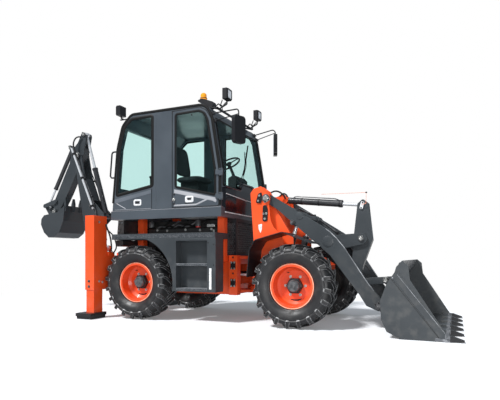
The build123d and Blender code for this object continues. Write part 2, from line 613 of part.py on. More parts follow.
# Outer profile, (x, z): along the floor from the lip, round the heel, up the back to the guard.
bucket_profile = [(lip_x, 34), (lip_x, 20), (2830, 20), (2715, 75), (2655, 200), (2645, 420), (2712, 606),
                  (2800, 740)]
bucket_inner = [(lip_x + 20, 48), (2834, 48), (2728, 88), (2672, 206), (2662, 416), (2728, 600), (2816, 731)]
side_profile = bucket_profile + [(2819, 802), (2881, 870), (2945, 815), (2962, 660)]
bucket_body = upright(side_profile, 0, 2 * bucket_half)
bucket_room = upright(bucket_inner + [(2900, 900), (3400, 900)], 0, 2 * (bucket_half - bucket_side))
loader_bucket = bucket_body - bucket_room
guard = upright([(2800, 740), (2816, 731), (2870, 845), (2852, 850)], 0, 2 * bucket_half)
loader_bucket = loader_bucket + [guard]
for side in (1, -1):
    strip = upright([(2837, 742), (lip_x, 40), (lip_x - 90, 34), (2780, 690)],
                    side * (bucket_half + 5), 10)
    loader_bucket = loader_bucket + [strip]
    for y in (arm_y - arm_thick / 2 - 20, arm_y + arm_thick / 2 + 20):
        lug = upright_hull([(bucket_pin, 48), ((2660, 180), 20), ((2670, 440), 20)], side * y, 20)
        lug = lug - across(bucket_pin[0], bucket_pin[1], 30 + pin_clearance, side * y, 40)
        loader_bucket = loader_bucket + [lug]
    lug = upright_hull([(bucket_link_pin, 44), ((2680, 480), 20), ((2730, 640), 10)],
                       side * (link_y + 10 + side_gap + 10), 20)
    loader_bucket = loader_bucket + [lug]
loader_bucket = loader_bucket - upright(bucket_inner + [(2900, 900), (3400, 900)], 0,
                                        2 * (bucket_half - bucket_side))
tooth_pitch = 2 * (bucket_half - 35) / (bucket_teeth - 1)
for n in range(bucket_teeth):
    y = -(bucket_half - 35) + n * tooth_pitch
    tooth = upright([(lip_x - 120, 20), (lip_x - 120, 72), (lip_x + 30, 66), (lip_x + 150, 24),
                     (lip_x + 150, 12), (lip_x, 0), (lip_x - 60, 0)], y, 65)
    loader_bucket = loader_bucket + [tooth]
runner = span((2850, lip_x - 130), (-bucket_half, bucket_half), (0, 20))
loader_bucket = loader_bucket + [runner]
save(loader_bucket, "loader_bucket", front_shift)

# ---------------------------------------------------------------- cylinders
xz = (0, -1, 0)                    # pin axis of a cylinder that swings in the XZ plane


def in_plane(point, y):
    """A place (x, z) at a given y."""
    return (point[0], y, point[1])


lift_right = hydraulic(in_plane(lift_base, -lift_y), in_plane(lift_eye, -lift_y), xz, 48, 24, 780, 0, 50)
lift_left = hydraulic(in_plane(lift_base, lift_y), in_plane(lift_eye, lift_y), xz, 48, 24, 780, 0, 50)
save(lift_right[0] + lift_left[0], "lift_barrels", front_shift)
save(lift_right[1] + lift_left[1], "lift_rods", front_shift)

single_cylinders = [
    # node, base pin, eye pin, barrel radius, rod radius, barrel length, push in, eye width, shift
    ("tilt", tilt_base, bell_top, tilt_barrel_radius, 24, 848, 330, tilt_eye_width, front_shift),
    ("boom", boom_barrel_pin, boom_cylinder_eye, 44, 24, 640, 0, boom_eye_width, rear_shift),
    ("stick", stick_cylinder_base, stick_top, 44, 24, 900, 560, boom_eye_width, rear_shift),
    ("hoe", hoe_barrel_base, lever_end, 36, 20, 828, 420, 50, rear_shift),
]
for name, base, eye, barrel_radius, rod_radius, barrel_length, push_in, eye_width, shift in single_cylinders:
    barrel, rod = hydraulic(in_plane(base, 0), in_plane(eye, 0), xz, barrel_radius, rod_radius,
                            barrel_length, push_in, eye_width)
    save(barrel, name + "_barrel", shift)
    save(rod, name + "_rod", shift)
for side, end in ((-1, "right"), (1, "left")):
    base = (steer_base[0], side * steer_base[1], steer_base[2])
    eye = (steer_eye[0] + front_shift, side * steer_eye[1], steer_eye[2])
    barrel, rod = hydraulic(base, eye, (0, 0, 1), steer_barrel_radius, 18, 340, 135, 46)
    save(barrel, "steer_barrel_" + end)
    save(rod, "steer_rod_" + end)

# ---------------------------------------------------------------- cab sizes
cab_half = 800                     # outer faces of the cab's sides
cab_wall = 45
sill_half = cab_half + 50
sill_x = (-1350, 506)
glass = 6
# Outline of the cab's sides, (x, z): up the rear, along the roof and down the windscreen.
cab_outline = [
    (-1365, 1590), (-1280, 2540), (-1185, 2880), (-1021, 3038), (185, 3038), (279, 2985), (357, 2840),
    (480, 2110), (480, 1590),
]
door_outline = [(-300, 1612), (-300, 2990), (150, 3000), (250, 2946), (325, 2825), (445, 2105), (445, 1612)]
door_window = [(-245, 1905), (-245, 2940), (140, 2950), (222, 2905), (272, 2805), (390, 2095), (390, 1762)]
rear_window_side = [(-1285, 1832), (-1232, 2530), (-1140, 2850), (-1010, 2962), (-640, 2968), (-640, 1945)]
windscreen_zone = [(330, 1900), (560, 1900), (560, 2110), (440, 2860), (230, 2860)]
windscreen_half = cab_half - 65
rear_zone = [(-1480, 1950), (-1240, 1950), (-1140, 2830), (-1380, 2830)]
rear_half = cab_half - 100
roof_x = (-1000, 160)
door_gap = 7
door_thick = 38
hinge_x = 505
hinge_y = cab_half + 15
hinge_levels = (1740, 2070)
hinge_pin = 8


def cab_solid(inset):
    """The cab's outer form, drawn in by inset."""
    face = make_face(Polyline(*cab_outline, close=True))
    if inset:
        face = offset(face, -inset, kind=Kind.INTERSECTION)
    width = 2 * (cab_half - inset)
    return Pos(0, width / 2, 0) * extrude(Plane.XZ * face, width, dir=(0, -1, 0))


# ---------------------------------------------------------------- cab frame
shell = cab_solid(0) - cab_solid(cab_wall)
cuts = [
    upright(windscreen_zone, 0, 2 * windscreen_half),
    upright(rear_zone, 0, 2 * rear_half),
    span(roof_x, (-cab_half + cab_wall, cab_half - cab_wall), (2900, 3200)),
]
door_hole = offset(make_face(Polyline(*door_outline, close=True)), door_gap, kind=Kind.INTERSECTION)
door_hole = Pos(0, 1000, 0) * extrude(Plane.XZ * door_hole, 2000, dir=(0, -1, 0))
cuts.append(door_hole - span((-2000, 2000), (-cab_half + cab_wall, cab_half - cab_wall), (1000, 4000)))
rear_hole = upright(rear_window_side, 0, 2000)
cuts.append(rear_hole - span((-2000, 2000), (-cab_half + cab_wall, cab_half - cab_wall), (1000, 4000)))
shell = shell - cuts
sill = span(sill_x, (-sill_half, sill_half), cab_sill_z)
sill = sill - span((sill_x[0] + 60, sill_x[1] - 60), (-sill_half + 60, sill_half - 60),
                   (cab_sill_z[0] - 1, cab_sill_z[1] - sill_plate))
frame_pieces = [sill]
for side in (1, -1):
    for level in hinge_levels:
        for z in (level - 50, level + 36):
            ear = span((460, 512), sorted((side * cab_half, side * (hinge_y + 12))), (z, z + 14))
            frame_pieces.append(ear)
        frame_pieces.append(post(hinge_x, side * hinge_y, hinge_pin, (level - 50, level + 50)))
save(shell + frame_pieces, "cab_frame")

roof_top = cab_outline[3][1] - 4
roof_panel = span(roof_x, (-cab_half + cab_wall, cab_half - cab_wall), (roof_top - 44, roof_top))
crown = Pos(sum(roof_x) / 2, 0, roof_top) * extrude(
    Rectangle(roof_x[1] - roof_x[0], 2 * (cab_half - cab_wall)), 14, taper=60)
save(roof_panel + [crown], "cab_roof")

# ---------------------------------------------------------------- cab glass
skin = cab_solid(0) - cab_solid(glass)
panes = [skin & upright(windscreen_zone, 0, 2 * windscreen_half), skin & upright(rear_zone, 0, 2 * rear_half)]
for side in (1, -1):
    panes.append(upright(rear_window_side, side * (cab_half - 18), glass))
cab_glass = Compound(children=[p for pane in panes for p in pane.solids()])
save(cab_glass, "cab_glass")

# ---------------------------------------------------------------- doors
for side, end in ((-1, "right"), (1, "left")):
    panel = upright(door_outline, side * (cab_half - door_thick / 2), door_thick)
    panel = panel - upright(door_window, side * (cab_half - door_thick / 2), door_thick + 2)
    recess = span((-90, 40), sorted((side * (cab_half - 18), side * (cab_half + 1))), (1653, 1733))
    panel = panel - recess
    pieces = []
    bores = []
    for level in hinge_levels:
        pieces.append(span((402, 440), sorted((side * cab_half, side * (cab_half + 10))),
                           (level - 32, level + 32)))
        pieces.append(span((402, hinge_x), sorted((side * (cab_half + 6), side * (cab_half + 18))),
                           (level - 32, level + 32)))
        pieces.append(post(hinge_x, side * hinge_y, 14, (level - 32, level + 32)))
        bores.append(post(hinge_x, side * hinge_y, hinge_pin + pin_clearance, (level - 33, level + 33)))
    if side > 0:
        handle = tube_path([(402, cab_half - 6, 2190), (402, cab_half + 62, 2190), (345, cab_half + 62, 2530),
                            (345, cab_half - 6, 2530)], 10, 30)
        pieces.append(handle)
    save(panel + pieces - bores, "door_" + end)
    save(upright(door_window, side * (cab_half - 18), glass), "door_glass_" + end)

# ---------------------------------------------------------------- cowl below the windscreen
cowl_z = (1520, 1870)
cowl_half = cab_half - 30
cowl_plan = [(480, -cowl_half), (512, 50 - cowl_half), (535, -420), (535, 420), (512, cowl_half - 50),
             (480, cowl_half)]
cowl = flat(cowl_plan, cowl_z[0], cowl_z[1] - cowl_z[0])
cowl = cowl - span((400, sill_x[1]), (-sill_half, sill_half), (1400, cab_sill_z[1]))
hump = upright([(480, 1870), (535, 1870), (520, 1990), (480, 2010)], 0, 520)
save(cowl + [hump], "cowl")

# ---------------------------------------------------------------- engine, radiator and its guard
engine = span((-1100, 90), (-270, 270), (700, 1400))
mounts = []
for side in (1, -1):
    for x in (-900, -100):
        mounts.append(span((x, x + 100), sorted((side * 270, side * inside)), (800, 870)))
core = span((300, 400), (-380, 380), (960, 1440))
feet = [span((320, 380), sorted((side * (inside - 20), side * (inside + 15))), (frame_top, 960)) for side in (1, -1)]
save(Compound(children=[engine + mounts, core + feet]), "engine")

guard_x = (250, 535)
guard_half = 430
guard_z = (frame_top, cab_sill_z[0])
guard_rim = 50
wall = 12
guard = span(guard_x, (-guard_half, guard_half), guard_z)
guard = guard - span((guard_x[0] - 1, guard_x[1] - wall), (-guard_half + wall, guard_half - wall),
                     (guard_z[0] - 1, guard_z[1] - wall))
front_window = span((guard_x[1] - wall - 1, guard_x[1] + 1), (-guard_half + guard_rim, guard_half - guard_rim),
                    (guard_z[0] + guard_rim, guard_z[1] - guard_rim))
side_window = span((guard_x[0] + guard_rim, guard_x[1] - guard_rim), (-guard_half - 1, guard_half + 1),
                   (guard_z[0] + guard_rim, guard_z[1] - guard_rim))
guard = guard - [front_window, side_window]
grille_rows = 8
grille_columns = 12
side_columns = 3
bars = []
row_pitch = (guard_z[1] - guard_z[0] - 2 * guard_rim) / grille_rows
for n in range(1, grille_rows):
    z = guard_z[0] + guard_rim + n * row_pitch
    bars.append(span((guard_x[1] - wall, guard_x[1] - 4), (-guard_half + guard_rim, guard_half - guard_rim),
                     (z - 4, z + 4)))
    for side in (1, -1):
        bars.append(span((guard_x[0] + guard_rim, guard_x[1] - guard_rim),
                         sorted((side * (guard_half - wall), side * (guard_half - 4))), (z - 4, z + 4)))
for n in range(1, grille_columns):
    y = -guard_half + guard_rim + n * 2 * (guard_half - guard_rim) / grille_columns
    bars.append(span((guard_x[1] - wall, guard_x[1] - 4), (y - 4, y + 4),
                     (guard_z[0] + guard_rim, guard_z[1] - guard_rim)))
for n in range(1, side_columns):
    x = guard_x[0] + guard_rim + n * (guard_x[1] - guard_x[0] - 2 * guard_rim) / side_columns
    for side in (1, -1):
        bars.append(span((x - 4, x + 4), sorted((side * (guard_half - wall), side * (guard_half - 4))),
                         (guard_z[0] + guard_rim, guard_z[1] - guard_rim)))
save(guard + bars, "radiator_guard")

# ---------------------------------------------------------------- running boards and step boxes
board_x = (-1253, 466)
board_half = (post_half[1], track_half + 180)
board_z = (1160, 1240)
step_x = (-170, 474)
step_half = (track_half - 50, track_half + 180)
step_z = (430, board_z[0])
arch_radius = 655
boards = []
boxes = []
for side in (1, -1):
    ys = sorted((side * board_half[0], side * board_half[1]))
    board = span(board_x, ys, board_z)
    board = board - span((board_x[0] + sheet, board_x[1] - sheet), (ys[0] + sheet, ys[1] - sheet),
                         (board_z[0] - 1, board_z[1] - sheet))
    boards.append(board)
    box = span(step_x, sorted((side * step_half[0], side * step_half[1])), step_z)
    for z in ((475, 785), (815, 1130)):
        box = box - span((-145, 345), sorted((side * (step_half[1] - 150), side * (step_half[1] + 1))), z)
    zone = span((rear_axle_x + 195, step_x[0]), sorted((side * (step_half[0] - 120), side * step_half[1])), step_z)
    ring = across(rear_axle_x, axle_z, arch_radius + sheet, 0, 2000)
    hole = across(rear_axle_x, axle_z, arch_radius, 0, 2002)
    skin_plate = zone & span((-2000, 2000), sorted((side * (step_half[1] - sheet), side * step_half[1])),
                             (0, 3000))
    box = box + [skin_plate - hole, (zone & ring) - hole]
    boxes.append(box)
save(boards[0] + boards[1], "running_boards")
save(boxes[0] + boxes[1], "step_boxes")

# ---------------------------------------------------------------- seat and controls
floor_z = cab_sill_z[1] + cab_wall
seat_x = (-640, -160)
seat_z = 2080
cushion = span(seat_x, (-240, 240), (seat_z + 0.3, seat_z + 90))
back = upright([(-640, seat_z + 90.6), (-545, seat_z + 90.6), (-640, 2680), (-725, 2680)], 0, 440)
save(Compound(children=[cushion, back]), "seat")
pedestal = span((-560, -240), (-150, 150), (floor_z, seat_z))
console = upright([(300, floor_z), (430, floor_z), (430, 2080), (380, 2130), (300, 2080)], 0, 420)
column_bar = tube_path([(330, 0, 2070), (215, 0, 2335)], 22, 10)
ring_place = Plane(origin=(210, 0, 2340), z_dir=(-0.42, 0, 0.91)).location
steering = [ring_place * Torus(175, 13), ring_place * Cylinder(45, 26)]
for angle in (0, 120, 240):
    steering.append(ring_place * Rot(0, 0, angle) * Pos(90, 0, 0) * Box(176, 24, 10))
rear_console = span((-1240, -1060), (-220, 220), (floor_z, 2020))
levers = []
for y in (-150, -50, 50, 150):
    levers.append(post(-1130, y, 9, (2010, 2190)))
    levers.append(Pos(-1130, y, 2200) * Sphere(22))
save(Compound(children=[pedestal, console + [column_bar] + steering, rear_console + levers]), "controls")

# ---------------------------------------------------------------- work lamps and beacon
lamp_bar_place = (327, 3015)
lamp_head = (70, 150, 150)         # deep, wide, tall
front_lamp = (451, cab_half - 240, 3205)
rear_lamp = (-1400, cab_half - 250, 3190)
beacon_x = 72
beacon_y = 250 - cab_half


def front_face_x(z):
    """X of the cab's front face at a height, on the sloping pillars."""
    corners = cab_outline[-4:-1]
    for (x0, z0), (x1, z1) in zip(corners, corners[1:]):
        if z1 <= z <= z0:
            return x0 + (x1 - x0) * (z - z0) / (z1 - z0)


def lamp(place, facing, stem):
    """Square lamp facing along X on a bent stem that starts at stem."""
    deep, wide, tall = lamp_head
    x, y, z = place
    head = Pos(*place) * Box(deep, wide, tall)
    lens = Pos(x + facing * (deep / 2 + 4), y, z) * Box(8, wide - 24, tall - 24)
    bar = tube_path([stem, (x, y, (stem[2] + z - tall / 2) / 2), (x, y, z - tall / 2 + 5)], 11, 12)
    return head + [lens, bar]


bar_x, bar_z = lamp_bar_place
bar_half = cab_half - 160
lamp_pieces = [span((bar_x - 12, bar_x + 12), (-bar_half, bar_half), (bar_z - 12, bar_z + 12))]
roof_rear, roof_edge = cab_outline[3:5]
roof_z = roof_edge[1]
for side in (1, -1):
    foot = [(roof_x[1] + 5, roof_z), roof_edge, (bar_x - 9, bar_z - 12), (bar_x + 9, bar_z - 12),
            (bar_x + 9, bar_z + 16), (roof_x[1] + 5, roof_z + 14)]
    lamp_pieces.append(upright(foot, side * (bar_half - 40), 40))
    lamp_pieces.append(lamp((front_lamp[0], side * front_lamp[1], front_lamp[2]), 1,
                            (bar_x, side * front_lamp[1], bar_z)))
rear_pieces = []
for side in (1, -1):
    y = side * rear_lamp[1]
    foot = span((roof_x[0] - 20, roof_x[0] - 2), (y - 20, y + 20), (roof_z, roof_z + 12))
    stay = span((rear_lamp[0] - 14, roof_x[0] - 2), (y - 14, y + 14), (roof_z + 12, roof_z + 24))
    rear_pieces.append(lamp((rear_lamp[0], y, rear_lamp[2]), -1, (rear_lamp[0] + 50, y, roof_z + 18)) + [foot, stay])
# Tilted pod that carries the beacon, standing on the front of the roof.
pod = upright([(10, 3150), (10, 3172), (76, 3190), (245, 3122), (252, 3062), (196, roof_z), (166, roof_z),
               (110, 3105)], beacon_y, 110)
save(Compound(children=[lamp_pieces[0] + lamp_pieces[1:], pod] + rear_pieces), "work_lamps")

# Amber beacon: a ribbed drum under a low dome, on the level pad at the rear of the pod.
beacon_base = Pos(beacon_x, beacon_y, 0) * Pos(0, 0, 3189) * Cylinder(50, 26)
pod_cut = upright([(10, 3150), (10, 3172), (76, 3190), (245, 3122), (252, 3062), (110, 3105)], beacon_y, 130)
dome = Pos(beacon_x, beacon_y, 3240) * Sphere(44) + post(beacon_x, beacon_y, 44, (3195, 3240))
save(beacon_base + [dome] - pod_cut, "beacon")

# ---------------------------------------------------------------- mirrors
mirror_head = (60, 195, 360)       # deep, wide, tall
mirror_toe_in = 23
mirror_arm = 9
pillar_y = cab_half - 25                     # middle of each front pillar
mirror_places = [
    # side, head centre, heights of the two arms on the pillar
    (-1, (815, -cab_half - 150, 2575), (2895, 2790)),
    (1, (605, cab_half + 200, 2805), (2950, 2870)),
]
mirrors = []
for side, head_place, arm_heights in mirror_places:
    deep, wide, tall = mirror_head
    x, y, z = head_place
    head = Box(deep, wide, tall)
    head = fillet(head.edges().filter_by(Axis.X), 45)
    head = Pos(*head_place) * Rot(0, 0, side * mirror_toe_in) * head
    top = z + tall / 2
    pieces = [tube_path([(front_face_x(arm_heights[0]) + 24, side * pillar_y, arm_heights[0]),
                         (x, y, top + 95), (x, y, top - 8)], mirror_arm, 50),
              tube_path([(front_face_x(arm_heights[1]) + 24, side * pillar_y, arm_heights[1]),
                         (x, y, top + 30)], mirror_arm - 2, 0)]
    for height in arm_heights:
        low = height - 22
        high = height + 22
        clamp = upright([(front_face_x(low), low), (front_face_x(high), high), (front_face_x(high) + 34, high),
                         (front_face_x(low) + 34, low)], side * pillar_y, 36)
        pieces.append(clamp)
    mirrors.append(head + pieces)
save(Compound(children=mirrors), "mirrors")

# ---------------------------------------------------------------- grab rails on the rear corners
rail_z = (2115, 2510)
rail_out = 130
rail_radius = 12


def rear_face_x(z):
    """X of the cab's rear face at a height, below the bend of the rear pillars."""
    (x0, z0), (x1, z1) = cab_outline[:2]
    return x0 + (x1 - x0) * (z - z0) / (z1 - z0)


rails = []
for side in (1, -1):
    y = side * (cab_half - 50)
    low, high = rail_z
    rail = tube_path([(rear_face_x(low) + 5, y, low), (rear_face_x(low) - rail_out, y, low),
                      (rear_face_x(high) - rail_out, y, high), (rear_face_x(high) + 5, y, high)], rail_radius, 40)
    rails.append(rail - cab_solid(0))
save(Compound(children=rails), "grab_rails")
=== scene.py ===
import math

import bmesh
import bpy
import numpy as np
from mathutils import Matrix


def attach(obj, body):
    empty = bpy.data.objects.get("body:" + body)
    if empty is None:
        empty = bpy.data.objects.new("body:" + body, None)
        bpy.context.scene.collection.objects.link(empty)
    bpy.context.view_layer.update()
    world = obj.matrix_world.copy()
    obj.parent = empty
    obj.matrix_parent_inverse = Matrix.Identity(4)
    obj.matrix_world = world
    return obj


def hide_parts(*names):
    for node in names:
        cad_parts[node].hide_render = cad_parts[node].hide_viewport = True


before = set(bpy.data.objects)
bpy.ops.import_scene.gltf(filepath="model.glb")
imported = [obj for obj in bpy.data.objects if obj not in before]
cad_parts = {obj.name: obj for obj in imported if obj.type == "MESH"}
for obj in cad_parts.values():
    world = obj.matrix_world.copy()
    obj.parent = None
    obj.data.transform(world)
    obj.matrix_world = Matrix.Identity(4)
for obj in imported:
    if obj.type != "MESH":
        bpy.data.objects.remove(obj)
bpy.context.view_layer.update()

scene = bpy.context.scene
scene.view_settings.view_transform = "Standard"

# ---------------------------------------------------------------- Studio
# A pale floor that runs into a white surround, one broad sun from the right rear, a wide fill lamp, and a
# camera that stands low ahead of the right side, looking level across the cab.
eye = bpy.data.objects.new("camera", bpy.data.cameras.new("camera"))
scene.collection.objects.link(eye)
eye.location = (3.4284, -6.6296, 0.9211)
eye.rotation_euler = (math.radians(90.15), 0, math.radians(23.35))
eye.data.sensor_width = 36
eye.data.lens = 34.37
eye.data.shift_y = 0.1094
scene.camera = eye

sun = bpy.data.objects.new("sun", bpy.data.lights.new("sun", "SUN"))
scene.collection.objects.link(sun)
sun.data.energy = 4.3
sun.data.angle = math.radians(9)
sun.rotation_euler = (math.radians(40), 0, math.radians(-32))

# The fill lamp stands low by the right front corner and opens the shadows under the cab and on the posts.
fill = bpy.data.objects.new("fill", bpy.data.lights.new("fill", "AREA"))
scene.collection.objects.link(fill)
fill.data.shape = "RECTANGLE"
fill.data.size = 5.0
fill.data.size_y = 2.5
fill.data.energy = 360
fill.location = (5.6, -8.2, 1.4)
fill.rotation_euler = (math.radians(88), 0, math.radians(34))


class Wire:
    """A shader value that can stand in a sum: each operator adds one Math node to its finish."""

    def __init__(self, finish, socket):
        self.finish = finish
        self.socket = socket

    def maths(self, operation, first, second):
        """One Math node on two values, each a Wire or a plain number."""
        return self.finish.node("ShaderNodeMath", {"operation": operation}, {0: first, 1: second})["Value"]

    def __add__(self, other):
        return self.maths("ADD", self, other)

    def __radd__(self, other):
        return self.maths("ADD", other, self)

    def __sub__(self, other):
        return self.maths("SUBTRACT", self, other)

    def __rsub__(self, other):
        return self.maths("SUBTRACT", other, self)

    def __mul__(self, other):
        return self.maths("MULTIPLY", self, other)

    def __rmul__(self, other):
        return self.maths("MULTIPLY", other, self)

    def __or__(self, other):
        return self.maths("MAXIMUM", self, other)

    def step(self, low, high):
        """0 below low, 1 above high and a smooth slope between them."""
        return self.finish.node("ShaderNodeMapRange", {"interpolation_type": "SMOOTHSTEP"},
                                {"Value": self, "From Min": low, "From Max": high})["Result"]


class Finish:
    """A procedural material, or the world: nodes are added to an empty tree and joined by their wires."""

    def __init__(self, name, owner=None):
        self.material = owner or bpy.data.materials.new(name)
        self.material.use_nodes = True
        self.nodes = self.material.node_tree.nodes
        self.links = self.material.node_tree.links
        self.nodes.clear()

    def node(self, kind, settings={}, values={}):
        """Any node, with its settings and the values or wires of its inputs; it gives its outputs by name."""
        made = self.nodes.new(kind)
        for key, value in settings.items():
            setattr(made, key, value)
        for key, value in values.items():
            if isinstance(key, int):
                socket = made.inputs[key]
            else:
                socket = next(s for s in made.inputs if s.name == key and s.enabled)
            if isinstance(value, Wire):
                self.links.new(value.socket, socket)
            else:
                socket.default_value = value
        return {s.name: Wire(self, s) for s in made.outputs if s.enabled}

    def place(self):
        """The point being shaded, in metres, in the object's own frame."""
        return self.node("ShaderNodeTexCoord")["Object"]

    def noise(self, scale, detail=2.0):
        """Cloudy noise from 0 to 1 over the object, scale to the metre."""
        return self.node("ShaderNodeTexNoise", {}, {"Vector": self.place(), "Scale": scale,
                                                    "Detail": detail})["Fac"]

    def mix(self, share, first, second):
        """The first colour where share is 0, the second where it is 1."""
        return self.node("ShaderNodeMix", {"data_type": "RGBA"},
                         {"Factor": share, "A": first, "B": second})["Result"]

    def bump(self, height, distance, strength=1.0, normal=None):
        """The surface raised by height * distance metres, over the given normal if there is one."""
        values = {"Height": height, "Distance": distance, "Strength": strength}
        if normal is not None:
            values["Normal"] = normal
        return self.node("ShaderNodeBump", {}, values)["Normal"]

    def corners(self, radius, low, high):
        """The normal rounded over the corners, and a mask of them: the step of 1 - rounded . flat."""
        rounded = self.node("ShaderNodeBevel", {"samples": 6}, {"Radius": radius})["Normal"]
        flat = self.node("ShaderNodeNewGeometry")["Normal"]
        agree = self.node("ShaderNodeVectorMath", {"operation": "DOT_PRODUCT"},
                          {0: rounded, 1: flat})["Value"]
        return rounded, (1 - agree).step(low, high)

    def shader(self, **values):
        """The Principled shader, its sockets named with underscores."""
        named = {key.replace("_", " "): value for key, value in values.items()}
        return self.node("ShaderNodeBsdfPrincipled", {}, named)["BSDF"]

    def done(self, surface, kind="ShaderNodeOutputMaterial"):
        """The material, its surface joined to the output."""
        self.node(kind, {}, {"Surface": surface})
        return self.material


# The surround is white to the eye and through glass, and a soft grey to everything it lights.
sky = Finish("surround", scene.world or bpy.data.worlds.new("surround"))
scene.world = sky.material
seen = sky.node("ShaderNodeLightPath")
white = sky.node("ShaderNodeBackground", {}, {"Color": (1, 1, 1, 1), "Strength": 1.0})["Background"]
soft = sky.node("ShaderNodeBackground", {}, {"Color": (0.80, 0.90, 1, 1), "Strength": 0.36})["Background"]
plain = seen["Is Camera Ray"] | seen["Is Transmission Ray"]
sky.done(sky.node("ShaderNodeMixShader", {}, {0: plain, 1: soft, 2: white})["Shader"],
         "ShaderNodeOutputWorld")

# The floor keeps the machine's shadow near it and turns plain white from 4 to 6.5 m out; to everything but
# the eye it is a darker grey, so that it throws less light up.
ground = Finish("floor")
where = ground.node("ShaderNodeVectorMath", {"operation": "LENGTH"}, {0: ground.place()})["Value"]
seen = ground.node("ShaderNodeLightPath")
plain = seen["Is Camera Ray"] | seen["Is Glossy Ray"] | seen["Is Transmission Ray"]
pale_floor = ground.mix(ground.noise(0.6), (0.84, 0.855, 0.89, 1), (0.87, 0.88, 0.90, 1))
bounced = (0.50, 0.52, 0.55, 1)
matt = ground.shader(Base_Color=ground.mix(seen["Is Camera Ray"], bounced, pale_floor), Roughness=0.9)
lit = ground.node("ShaderNodeEmission", {}, {"Color": (1, 1, 1, 1), "Strength": 1.0})["Emission"]
share = plain * (0.12 + 0.88 * where.step(4.0, 6.5))
floor_paint = ground.done(ground.node("ShaderNodeMixShader", {}, {0: share, 1: matt, 2: lit})["Shader"])


def grid(points, across_closed=False, along_closed=False):
    """A form from an array of points (rows, columns, 3): a quad joins each point to its neighbours in the
    next row and column, and a closed direction joins its end to its start."""
    rows, columns = points.shape[:2]
    i, j = np.meshgrid(np.arange(rows - (not along_closed)), np.arange(columns - (not across_closed)),
                       indexing="ij")
    i, j = i.ravel(), j.ravel()
    faces = np.stack([i * columns + j, i * columns + (j + 1) % columns,
                      (i + 1) % rows * columns + (j + 1) % columns, (i + 1) % rows * columns + j], -1)
    return points.reshape(-1, 3), [faces]


def piece(name, form, finish, body, sharp=32, bevel=0, levels=0):
    """The object of a form: doubles merged, faces turned outwards, its edges sharp above an angle."""
    points, faces = form
    mesh = bpy.data.meshes.new(name)
    mesh.from_pydata(points.tolist(), [], [row for face in faces for row in face.tolist()])
    shell = bmesh.new()
    shell.from_mesh(mesh)
    bmesh.ops.remove_doubles(shell, verts=shell.verts, dist=1e-6)
    bmesh.ops.recalc_face_normals(shell, faces=shell.faces)
    shell.to_mesh(mesh)
    shell.free()
    mesh.polygons.foreach_set("use_smooth", np.ones(len(mesh.polygons), bool))
    if sharp:
        mesh.set_sharp_from_angle(angle=math.radians(sharp))
    mesh.materials.append(finish)
    made = bpy.data.objects.new(name, mesh)
    scene.collection.objects.link(made)
    if bevel:
        edge = made.modifiers.new("edge", "BEVEL")
        edge.width, edge.segments, edge.limit_method = bevel, 2, "ANGLE"
    if levels:
        smooth = made.modifiers.new("smooth", "SUBSURF")
        smooth.levels = smooth.render_levels = levels
    if body:
        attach(made, body)
    return made


turn = np.linspace(0, 2 * np.pi, 64, endpoint=False)
reach = np.array([0.01, 3, 6, 10, 20, 45])[:, None]
disc = np.stack([reach * np.cos(turn), reach * np.sin(turn), 0 * reach * turn], -1)
piece("floor", grid(disc, across_closed=True), floor_paint, None)

# ---------------------------------------------------------------- Painted steel
# Frames, arms, cab and buckets are welded plate with sprayed enamel: even, faintly mottled, with a painted
# highlight on the corners, and dusty low down.


def enamel(name, colour, rough=0.42, shine=0.35, dust=0.5, foot=0.0, lip=0.0, shaded_width=0.0):
    """Sprayed colour with soft corners, a painted highlight along its edges broken up by scuff noise, a
    slight orange peel and settled dust. Below the foot height it is black. The last 50 mm before the lip
    along X are bare scuffed steel low down, and what is past it, the teeth, is black. Within shaded_width of
    the middle
    plane it is near black: painted shade over the rim's inner side."""
    f = Finish(name)
    colour = np.array(colour)
    clouds = f.noise(2.3, 4).step(0.35, 0.65)
    peel = f.noise(260, 1)
    scuff_and_highlight_noise = f.noise(31, 5)
    rounded, corner = f.corners(0.004, 0.005, 0.12)
    edge = corner * scuff_and_highlight_noise.step(0.36, 0.6)
    axes = f.node("ShaderNodeSeparateXYZ", {}, {"Vector": f.place()})
    height = axes["Z"]
    low = (1 - height.step(0.15, 1.3)) * f.noise(9, 5).step(0.42, 0.72)
    base = f.mix(clouds, tuple(colour * 0.93) + (1,), tuple(colour * 1.06) + (1,))
    # Painted highlight: the corner mask, broken up by scuff noise, lightens the colour.
    base = f.mix(edge * 0.55, base, tuple(np.minimum(colour * 1.5 + 0.06, 1)) + (1,))
    base = f.mix(low * dust * 0.22, base, (0.30, 0.28, 0.25, 1))
    if foot:
        base = f.mix(height.step(foot - 0.001, foot), (0.010, 0.010, 0.011, 1), base)
    if lip:
        bare = axes["X"].step(lip - 0.050, lip - 0.045) * (1 - height.step(0.075, 0.085))
        base = f.mix(bare * scuff_and_highlight_noise.step(0.4, 0.55), base, (0.13, 0.135, 0.145, 1))
        base = f.mix(axes["X"].step(lip, lip + 0.003), base, (0.012, 0.012, 0.013, 1))
    if shaded_width:
        # Painted shade: inside shaded_width of the middle plane the rim is made near black.
        inboard_shade = 1 - (axes["Y"] | (0 - axes["Y"])).step(shaded_width, shaded_width + 0.004)
        base = f.mix(inboard_shade, base, (0.012, 0.010, 0.009, 1))
    return f.done(f.shader(Base_Color=base, Roughness=rough + 0.12 * clouds + 0.2 * low,
                           Coat_Weight=shine, Coat_Roughness=0.12, Specular_IOR_Level=0.3,
                           Normal=f.bump(peel, 0.0004, 0.25, rounded)))


def coat(slot, finish):
    """The finish on every CAD node whose record names that slot."""
    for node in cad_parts.values():
        if node.material_slots[0].material.name == slot:
            node.material_slots[0].material = finish
            node.data.set_sharp_from_angle(angle=math.radians(30))


